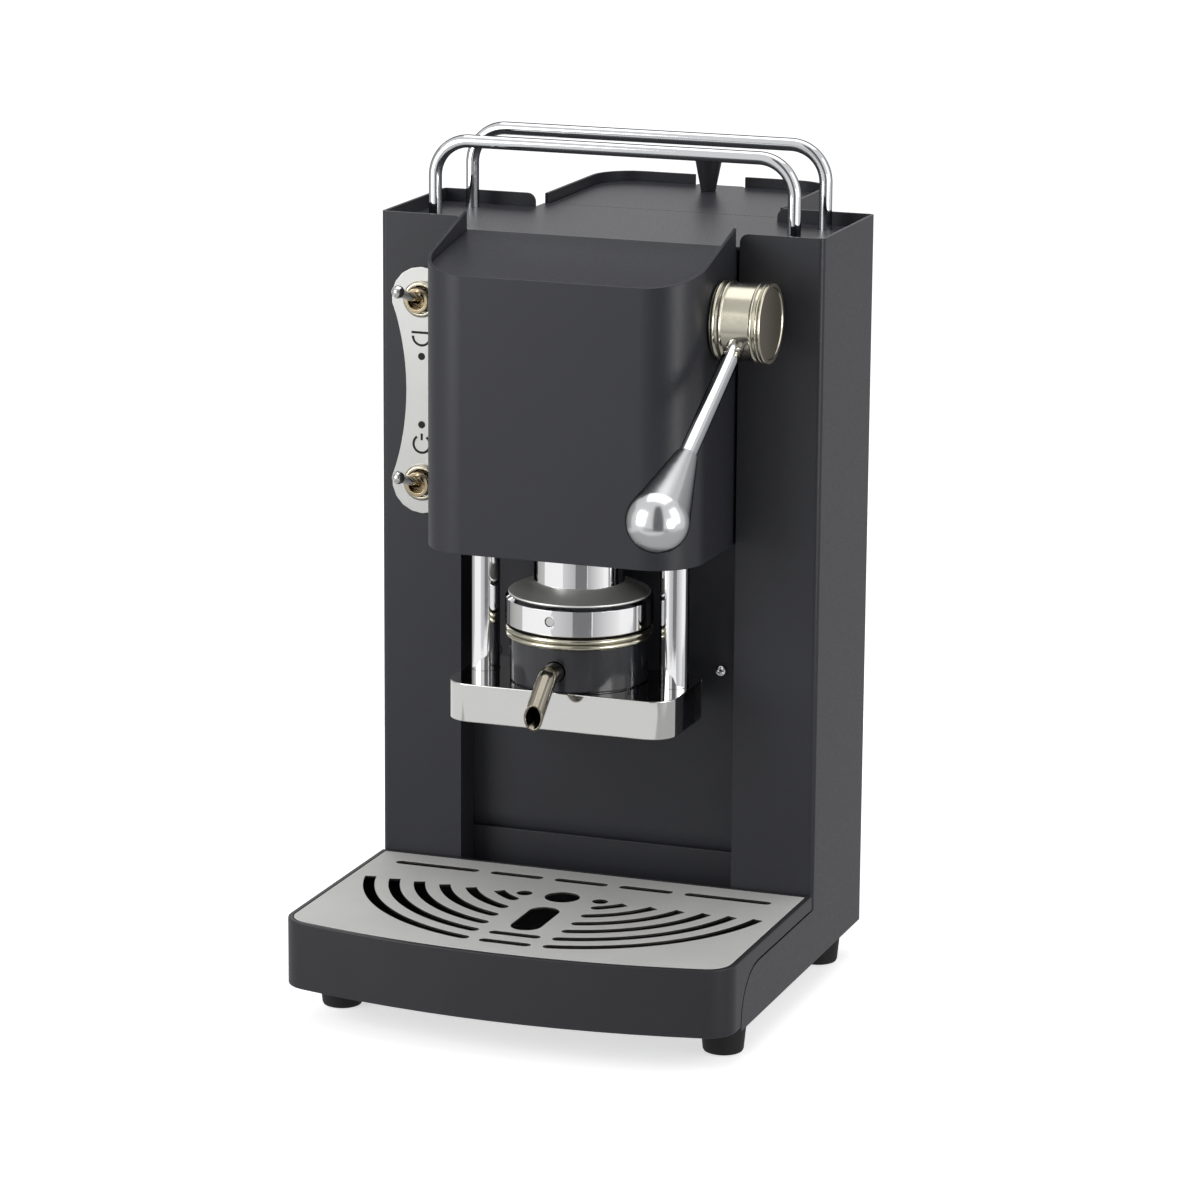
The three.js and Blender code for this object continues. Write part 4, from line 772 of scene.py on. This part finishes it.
clamp = spun("clamp_ring_turned", [
    (CLAMP_BORE, clamp_low.z), (CLAMP - CLAMP_FOOT, clamp_low.z),
    (CLAMP, clamp_low.z + CLAMP_FOOT), (CLAMP, clamp_high.z - CLAMP_TOP),
    (CLAMP - CLAMP_TOP, clamp_high.z), (CLAMP_BORE, clamp_high.z), (CLAMP_BORE, clamp_low.z),
], AXIS)
screw = centre("grub_screw")
outward = Vector((screw.x, screw.y - GROUP, 0)).normalized()
less(clamp, wire("screw_hole", [Vector((0, GROUP, screw.z)) + outward * r for r in GRUB_DRILL],
                 GRUB_HOLE))
dress(softened(clamp, 0.25), "group_head", "chrome", painted_bright_chrome, "clamp_ring")
print("grub screw at", [round(v, 1) for v in screw])

# %% Head cone and neck
COLLAR, FLANGE, CONE_TOP = 29.2, 32, 21.5  # radii, from the gasket upwards
CONE_TALL = 4.7
CLAMP_GAP = 0.3

low, high = span("head_flange")
flange_low = clamp_high.z + CLAMP_GAP
head = spun("head_cone", [
    (0, low.z), (COLLAR, low.z), (COLLAR, flange_low), (FLANGE, flange_low),
    (FLANGE, high.z - CONE_TALL), (CONE_TOP, high.z), (0, high.z),
], AXIS)
dress(softened(head, 0.25), "group_head", "chrome", turned_cone, "head_flange")

low, high = span("neck")
neck = spun("neck_bar", straight((high.x - low.x) / 2, low.z, high.z), AXIS)
dress(softened(neck, 0.2), "group_head", "chrome", painted_bright_chrome, "neck")
print("neck", round(high.x - low.x, 1), "mm thick, up to", round(high.z, 1))

# %% [markdown]
# The lever's hub is a nickel drum with raised beads at both ends. Light runs round each bead as a
# thin bright line, so the beads are real arcs in the profile. The outer end face is a little hollow
# and gets the finish with rings, in a darker colour than the drum's that paints in shade on the
# face.

# %% Lever hub
hub_low, hub_high = span("lever_hub")
WAIST = 17.2
BEAD = 0.85
RIM = WAIST + BEAD
HUB_BEVEL = 0.4
HOLLOW, DEEP = 16, 0.4  # radius and depth, in the end face


def bead(start, width):
    steps = [i / 6 for i in range(7)]
    return [(WAIST + BEAD * math.sin(math.pi * s), start + width * s) for s in steps]


long = hub_high.x - hub_low.x
hub = spun("hub_drum", [
    (0, 0), (WAIST, 0), *bead(0.5, 2), *bead(3.5, 2), (WAIST, 6),
    (WAIST, 17.7), *bead(17.7, 1.7), *bead(20.4, 1.4), (RIM, 22.5),
    (RIM, long - HUB_BEVEL), (RIM - HUB_BEVEL, long),
    (HOLLOW, long), (HOLLOW - DEEP, long - DEEP), (0, long - DEEP),
], (hub_low.x, GROUP, LEVER.z), axis="X")
dress(softened(hub, 0), "lever", "nickel", satin_nickel, "lever_hub")
# The end face gets the darker, ringed material, which paints shade onto it.
hub.data.materials.append(turned_and_shaded_hub_face)
for face in hub.data.polygons:
    at_the_end = face.center.x > (hub_high.x - DEEP - 0.2) * MM
    face.material_index = int(face.normal.x > 0.95 and at_the_end)
print("hub", round(long, 1), "mm long,", round(2 * RIM, 1), "mm across")

# %% [markdown]
# The lever is a chromed rod that ends in a teardrop knob. The knob's profile is a thin neck, a
# flank that meets the ball as a tangent, and the ball. Both are spun upright and then swung to
# their angle.

# %% Lever rod and knob
LEVER_DROP = math.radians(29.45)
LEVER_LENGTH = 132.8
KNOB = 13.7
KNOB_NECK, KNOB_CHAMFER = 5.2, 0.8
NECK_LENGTH = 41.9
ROD = 3.9
ROD_START, ROD_LAP = 10, 4  # inside the hub, and inside the knob

reach = math.hypot(NECK_LENGTH, KNOB_NECK)
flank = math.degrees(math.asin(KNOB / reach) - math.atan2(KNOB_NECK, NECK_LENGTH))
start = LEVER_LENGTH - NECK_LENGTH
knob = spun("knob_ball", [
    (0, start), (KNOB_NECK - KNOB_CHAMFER, start), (KNOB_NECK, start + KNOB_CHAMFER),
    *arc(0, LEVER_LENGTH, KNOB, -flank, 90, 32),
], (0, 0, 0))
rod = spun("rod_bar", straight(ROD, ROD_START, start + ROD_LAP), (0, 0, 0), steps=SMALL)
swing = (Matrix.Translation(at(*LEVER)) @ Matrix.Rotation(math.pi / 2 + LEVER_DROP, 4, "X")
         @ Matrix.Translation(-at(0, 0, 0)))
for piece, material, name in ((knob, polished_knob, "lever_knob"),
                              (rod, chrome_plate, "lever_rod")):
    piece.data.transform(swing)
    dress(softened(piece, 0), "lever", "chrome", material, name)
print("knob middle", [round(v, 1) for v in centre("lever_knob")])

# %% [markdown]
# The switch plate is thin stainless with two round lobes and a waist. The signs on it are plain
# printed ones: a cup, two dots and the usual sign for mains power. Each is a very thin plate.

# %% Switch plate
plate_low, high = span("switch_plate")
plate_x = (plate_low.x + high.x) / 2
plate = refined("switch_plate_sheet", "switch_plate", PLATE_EDGE)
dress(plate, "body", "brushed_steel", brushed_plate, "switch_plate")
print("switch plate", [round(v, 1) for v in high - plate_low])

# %% Printed signs
INK = 0.06
LINE = 1.1  # width of a printed line
DOT, RING_SIGN, CUP_BOWL, CUP_HALF = 1.7, 4.0, 4.2, 4.9
DOT_HEIGHTS = (252.2, 283.8)
POWER_HEIGHT, BOWL_HEIGHT = 243.2, 293.1


def printed(name, outline):
    return prism(name, [(plate_x + x, z) for x, z in outline], "Y", plate_low.y - INK,
                 plate_low.y)


def stroke(radius, height, start, end):
    """A line of even width along an arc."""
    return (arc(0, height, radius + LINE / 2, start, end, 40)
            + arc(0, height, radius - LINE / 2, end, start, 40))


def strip(half_width, low, high):
    return [(-half_width, low), (half_width, low), (half_width, high), (-half_width, high)]


dots = [printed("dot", arc(0, z, DOT, 0, 350, 35)) for z in DOT_HEIGHTS]
power = [printed("power_ring", stroke(RING_SIGN, POWER_HEIGHT, 125, 415)),
         printed("power_bar", strip(LINE / 2, POWER_HEIGHT + 1.8, POWER_HEIGHT + 4.9))]
cup_sign = [printed("cup_rim", strip(CUP_HALF, BOWL_HEIGHT + LINE, BOWL_HEIGHT + 2 * LINE)),
            printed("cup_bowl", stroke(CUP_BOWL, BOWL_HEIGHT, 180, 360))]
signs = joined("printed_signs", *dots, *power, *cup_sign)
dress(softened(signs, 0), "body", "black_plastic", dark_ink)

# %% [markdown]
# Each toggle switch has a collar of washed brass, a round nut with a bevelled front, and a polished
# bat that tilts with its joint. The nut is spun, and the others keep the frame's form.

# %% Toggle switches
NUT_BORE, NUT_BEVEL = 6.3, 0.9
for name in ("lower", "upper"):
    collar = refined(f"toggle_collar_{name}", f"toggle_switch_{name}", PLATE_EDGE)
    dress(collar, "body", "nickel", aged_brass, f"toggle_switch_{name}")
    low, high = span(f"toggle_nut_{name}")
    radius, thick = (high.x - low.x) / 2, high.y - low.y
    nut = spun(f"toggle_ring_{name}", [
        (NUT_BORE, 0), (radius, 0), (radius, NUT_BEVEL - thick), (radius - NUT_BEVEL, -thick),
        (NUT_BORE + 0.3, -thick), (NUT_BORE, 0.3 - thick), (NUT_BORE, 0),
    ], (plate_x, high.y, (low.z + high.z) / 2), axis="Y", steps=MEDIUM)
    dress(softened(nut, 0.2), "body", "nickel", satin_nickel, f"toggle_nut_{name}")
    bat = refined(f"toggle_lever_{name}", f"toggle_bat_{name}", 0)
    dress(bat, f"toggle_{name}", "nickel", polished_steel, f"toggle_bat_{name}")

# %% [markdown]
# The cup rails are 6 mm bars bent over at both ends, so their run of points has an arc at each end.

# %% Cup rails
RAIL = 3
RAIL_BEND = 16.5
for row in ("front", "rear"):
    low, high = span(f"rail_{row}")
    y = (low.y + high.y) / 2
    half, top_z = high.x - RAIL, high.z - RAIL
    bend_z = top_z - RAIL_BEND
    bends = (arc(RAIL_BEND - half, bend_z, RAIL_BEND, 180, 90, 20)
             + arc(half - RAIL_BEND, bend_z, RAIL_BEND, 90, 0, 20))
    run = [(-half, y, low.z), *((x, y, z) for x, z in bends), (half, y, low.z)]
    bar = wire(f"rail_bar_{row}", run, RAIL)
    dress(softened(bar, 0), "body", "chrome", chrome_plate, f"rail_{row}")

# %% [markdown]
# The drip tray is a moulded basin with a bowed front. Its rim stands a little proud round the
# grille. A moulding's edges are rounder than a sheet's, so its bevel is wider.

# %% Drip tray
tray = refined("tray_moulding", "drip_tray", 0.6, 4)
dress(tray, "drip_tray", "black_plastic", satin_abs, "drip_tray")

# %% [markdown]
# The grille is cut from one sheet: six curved slots each side, a row of straight slots at the back,
# three round holes and a long drain. A flat curve with holes makes the plate in one go, and its
# small bevel gives every slot the thin bright rim that cut stainless has.

# %% Outlines of the grille
TRAY_HALF, TRAY_DEPTH, TRAY_CORNER, TRAY_BOW = 105, 133, 14, 402
SLOT, THIN_SLOT = 5.2, 4.8
ARC_CENTRE, ARC_ROW, ARC_MIDDLE = -19.5, -43, 20  # curved slots: middle, ends, inner gap


def tray_plan(inset, back):
    """The tray's outline with its bowed front, moved in by an even margin."""
    half, radius, bow = TRAY_HALF - inset, TRAY_CORNER - inset, TRAY_BOW - inset
    bow_y = TRAY_BOW - TRAY_DEPTH
    tilt = math.degrees(math.asin((half - radius) / (bow - radius)))
    corner_y = bow_y - (bow - radius) * math.cos(math.radians(tilt))
    return [(-half, back), *arc(radius - half, corner_y, radius, 180, 270 - tilt, 16)[:-1],
            *arc(0, bow_y, bow, 270 - tilt, 270 + tilt, 60),
            *arc(half - radius, corner_y, radius, 270 + tilt, 360, 16)[1:], (half, back)]


def straight_slot(x, y, length, width=THIN_SLOT, along="X"):
    end = (length - width) / 2
    points = arc(end, 0, width / 2, -90, 90, 12) + arc(-end, 0, width / 2, 90, 270, 12)
    return [(x + a, y + b) if along == "X" else (x - b, y + a) for a, b in points]


def curved_slot(radius, side):
    side_end = math.degrees(math.asin((ARC_CENTRE - ARC_ROW) / radius))
    middle_end = math.degrees(math.acos(ARC_MIDDLE / radius))
    turn = math.radians(middle_end)
    end = arc(radius * math.cos(turn), ARC_CENTRE - radius * math.sin(turn), SLOT / 2,
              -middle_end, -middle_end - 180, 10)[1:-1]
    points = (arc(0, ARC_CENTRE, radius + SLOT / 2, -side_end, -middle_end, 32) + end
              + arc(0, ARC_CENTRE, radius - SLOT / 2, -middle_end, -side_end, 32))
    return [(side * x, y) for x, y in points]


def pierced(name, outline, holes, low, high, edge):
    """A flat plate with holes and slightly rounded rims, lying between two heights."""
    runs = [[at(x, y, 0) for x, y in run] for run in (outline, *holes)]
    made = from_curve(name, runs, cyclic=True, dimensions="2D", fill_mode="BOTH",
                      extrude=(high - low - 2 * edge) / 2 * MM, bevel_depth=edge * MM,
                      bevel_resolution=2, offset=-edge * MM)
    made.location.z = (low + high) / 2 * MM
    bpy.ops.object.transform_apply(location=True, rotation=True, scale=True)
    edit(made)
    seal()
    return made


# %% Grille
FIRST_ARC, ARC_PITCH = 38.4, 11.56
REAR_ROW, HOLE_ROW, DRAIN_ROW, FRONT_ROWS = -17.7, -42.5, -77.2, (-114.7, -102.5)
GRILLE_SHEET, GRILLE_GAP, GRILLE_EDGE = 1, 2.6, 0.15

back, top_z = span("grille")[1].yz
holes = [curved_slot(FIRST_ARC + ARC_PITCH * i, side) for i in range(6) for side in (-1, 1)]
holes += [straight_slot(step * 31.4, REAR_ROW, 25.6) for step in (-1, 0, 1)]
holes += [straight_slot(side * 70.5, REAR_ROW, 41) for side in (-1, 1)]
holes += [arc(0, HOLE_ROW, 8, 0, 352, 44)]
holes += [arc(side * 18.2, HOLE_ROW, 3.6, 0, 350, 35) for side in (-1, 1)]
holes += [straight_slot(0, DRAIN_ROW, 36.6, 14, "Y")]
holes += [straight_slot(0, row, 24) for row in FRONT_ROWS]
grille = pierced("grille_sheet", tray_plan(GRILLE_GAP, back), holes, top_z - GRILLE_SHEET, top_z,
                 GRILLE_EDGE)
dress(softened(grille, 0), "grille", "brushed_steel", brushed_grille, "grille")
# The upright walls of the slots and rim get the dark material, which also paints shade into the
# slots.
grille.data.materials.append(slot_wall_oxide_and_shade)
for face in grille.data.polygons:
    face.material_index = int(abs(face.normal.z) < 0.3)
print("the grille has", len(holes), "openings")

# %% [markdown]
# Behind the body stands the tank housing, a tall folded sheet. Its lid lies flush with the cup
# plate inside a raised rim, and a tapered knob lifts it.

# %% Tank housing and lid
coated("housing_sheet", "rear_housing", PLATE_EDGE)
coated("lid_plate", "tank_lid", SHELL_EDGE, body="tank_lid")
low, high = span("lid_knob")
lid_knob = spun("lid_knob_turned", [
    (0, low.z), (3.5, low.z), (6.6, high.z - 2.4), (6.9, high.z - 1.2), (6.3, high.z - 0.3),
    (5.2, high.z), (0, high.z),
], (0, (low.y + high.y) / 2, 0), steps=MEDIUM)
dress(softened(lid_knob, 0.2), "tank_lid", "black_plastic", satin_abs, "lid_knob")

# %% [markdown]
# The mains inlet at the back is a moulded socket. Three small brass bars with softened ends are its
# contact pins.

# %% Inlet pins
low, high = span("power_inlet")
inlet = (low + high) / 2
PIN_HALF, PIN_TALL = 1, 4
PIN_REACH = (15, 3)  # root and tip, in from the rear face
PIN_PLACES = ((-7, -1), (0, 2), (7, -1))  # sideways and up from the middle

pins = []
for aside, rise in PIN_PLACES:
    x, z = inlet.x + aside, inlet.z + rise
    pin = block("pin", (x - PIN_HALF, high.y - PIN_REACH[0], z - PIN_TALL / 2),
                (x + PIN_HALF, high.y - PIN_REACH[1], z + PIN_TALL / 2))
    pins.append(softened(pin, 0.4))
dress(joined("inlet_pins", *pins), "body", "brass", cut_brass)

# %% [markdown]
# Each foot is a tapered rubber cup. One is modelled, and the others are copies with their own mesh.

# %% Feet
FOOT_CUP = [(0, 5), (4, 5), (4, 0), (7.6, 0), (8.6, 0.4), (9.1, 1.4), (10.4, 14.6),
            (10.1, 15.6), (9.3, 16), (0, 16)]
first = home = None
for name in ("front_left", "front_right", "rear_left", "rear_right"):
    low, high = span(f"foot_{name}")
    place = ((low.x + high.x) / 2, (low.y + high.y) / 2, 0)
    if first is None:
        first = foot = softened(spun("foot_cup", FOOT_CUP, place, steps=MEDIUM), 0.2)
        home = Vector(place)
    else:
        foot = placed("foot_cup", first.data.copy())
        foot.data.transform(Matrix.Translation((Vector(place) - home) * MM))
    foot.name = f"foot_cup_{name}"
    dress(foot, "body", "rubber", black_rubber, f"foot_{name}")

# %% [markdown]
# What sits inside or behind keeps its frame piece and only gets a finish.

# %% Finishes for the frame pieces that show as they are
FINISHES = {
    "powder_coat": charcoal_coat, "black_plastic": satin_abs, "rubber": black_rubber,
    "brushed_steel": brushed_plate, "aluminium": machined_aluminium, "brass": cut_brass,
    "zinc_plated_steel": cast_zinc, "clear_plastic": clear_plastic, "coil_copper": copper_winding,
}
kept = [entry for entry in frame["record"]["subparts"]
        if not frame["nodes"][entry["node"]].hide_render]
for entry in kept:
    materials = frame["nodes"][entry["node"]].data.materials
    materials.clear()
    materials.append(FINISHES[entry["material_slot"]])
print(len(kept), "frame pieces show as they are")

# %% [markdown]
# The studio has a white floor that runs into a white background. The camera sees the floor lit by
# the lamps and lifted by a weak glow, so that it is white and keeps the shadow, and mirrors see it
# plain white. The world is white for both too, and lights everything else more softly.

# %% Floor and background
FLOOR_GLOW = 0.62
SOFT_LIGHT = 0.5
WHITE = linear("#ffffff")

bpy.ops.mesh.primitive_plane_add(size=12, location=(0, 0, -0.0002))
ground = bpy.context.object
ground.name = "studio_floor"
white, tree, output = new_material("studio_white")
path = node(tree, "LightPath").outputs
matt = node(tree, "BsdfDiffuse", {"Color": linear("#f2f2f2")}).outputs["BSDF"]
glow = node(tree, "Emission", {"Color": WHITE, "Strength": FLOOR_GLOW}).outputs["Emission"]
lit = node(tree, "AddShader", {0: matt, 1: glow}).outputs["Shader"]
plain = node(tree, "Emission", {"Color": WHITE, "Strength": 1.0}).outputs["Emission"]
seen = node(tree, "MixShader", {0: path["Is Camera Ray"], 1: matt, 2: lit}).outputs["Shader"]
mirrored = node(tree, "Math", {0: path["Is Glossy Ray"], 1: path["Is Transmission Ray"]},
                operation="MAXIMUM").outputs["Value"]
both = node(tree, "MixShader", {0: mirrored, 1: seen, 2: plain})
tree.links.new(both.outputs["Shader"], output.inputs["Surface"])
ground.data.materials.append(white)

world = bpy.data.worlds.new("studio_world")
bpy.context.scene.world = world
world.use_nodes = True
tree = world.node_tree
tree.nodes.clear()
path = node(tree, "LightPath").outputs
direct = node(tree, "Math", {0: path["Is Camera Ray"], 1: path["Is Glossy Ray"]},
              operation="MAXIMUM").outputs["Value"]
direct = node(tree, "Math", {0: direct, 1: path["Is Transmission Ray"]},
              operation="MAXIMUM").outputs["Value"]
strength = node(tree, "MapRange", {"Value": direct, "To Min": SOFT_LIGHT, "To Max": 1.0})
shine = node(tree, "Background", {"Color": WHITE, "Strength": strength.outputs["Result"]})
node(tree, "OutputWorld", {"Surface": shine.outputs["Background"]})
print("floor", round(ground.dimensions.x), "m wide")

# %% [markdown]
# Large soft lamps stand on both sides and overhead. Two narrow ones only show in what is glossy: a
# tall one on the left for the knob and the hood's bend, and one in front on the right, low enough
# to stay out of the hub's end face and the flat tops.

# %% Lamps
HEART = (0, -20, 190)  # the middle of the machine


def softbox(name, place, size, power):
    data = bpy.data.lights.new(name, "AREA")
    data.shape = "RECTANGLE"
    data.size, data.size_y = size
    data.energy = power
    made = placed(name, data)
    made.location = at(*place)
    made.rotation_euler = (at(*HEART) - made.location).to_track_quat("-Z", "Y").to_euler()
    print(name, power, "W")
    return made


softbox("left_softbox", (-1000, -1250, 650), (0.9, 1.2), 15)
softbox("right_softbox", (1600, -100, 800), (0.9, 1.4), 5)
for edge_light in (softbox("left_edge_light", (-1050, -1150, 620), (0.5, 1.2), 5),
                   softbox("right_edge_light", (1240, -620, 250), (0.5, 0.5), 7)):
    edge_light.visible_diffuse = False
softbox("overhead_softbox", (0, 300, 1700), (1.6, 1.2), 9)

# %% [markdown]
# Bare chrome in an all-white room would look like paper, so a few grey screens stand round the
# machine and give its mirrors something to show. Only reflections see them. An upright mirror seen
# from a little above shows what is near the floor, so two low screens serve the group's chrome
# alone. They fade from end to end, which a round bar shows as a soft band.

# %% Screens


def screen(name, middle_place, size, shade, fades_to=None, faces=None):
    """A grey screen for reflections. It faces the machine, or the way that is given."""
    width, height = size
    bpy.ops.mesh.primitive_plane_add(size=1, location=at(*middle_place))
    made = bpy.context.object
    made.name = name
    made.scale = (width * MM, height * MM, 1)
    x, y, _ = middle_place
    toward = Vector(faces) if faces else at(*AXIS) - at(x, y, 0)
    made.rotation_euler = toward.to_track_quat("Z", "Y").to_euler()
    bpy.ops.object.transform_apply(location=True, rotation=True, scale=True)
    made.visible_camera = made.visible_shadow = made.visible_diffuse = False
    paint, tree, output = new_material(name)
    across = node(tree, "SeparateXYZ", {0: node(tree, "TexCoord").outputs["UV"]}).outputs["X"]
    tone = node(tree, "Mix", {FACTOR: across, COLOUR_A: linear(shade),
                              COLOUR_B: linear(fades_to or shade)}, data_type="RGBA")
    light = node(tree, "Emission", {"Color": tone.outputs[COLOUR_OUT], "Strength": 1.0})
    tree.links.new(light.outputs["Emission"], output.inputs["Surface"])
    made.data.materials.append(paint)
    print(name, size, "mm")


screen("front_screen", (264, -628, 700), (360, 1400), "#79797b")
screen("front_fade", (-64, -648, 55), (360, 110), "#b9b9ba", "#d9d9da")
screen("right_fade", (516, -297, 55), (470, 110), "#f8f8f8", "#b0b0b1")
screen("left_rear_screen", (-600, 160, 310), (700, 620), "#c4c4c2")
screen("right_rear_screen", (270, 480, 320), (760, 640), "#cacacc")
screen("rear_flag", (-450, 1300, 1400), (2400, 1000), "#5c5c5e")
# This screen lies flat on the floor and only reflections see it: it paints a greyer floor into
# reflections.
screen("floor_reflection_screen", (150, 230, 0.4), (1100, 1340), "#cccccd", faces=(0, 0, 1))

bpy.context.scene.view_settings.view_transform = "Standard"
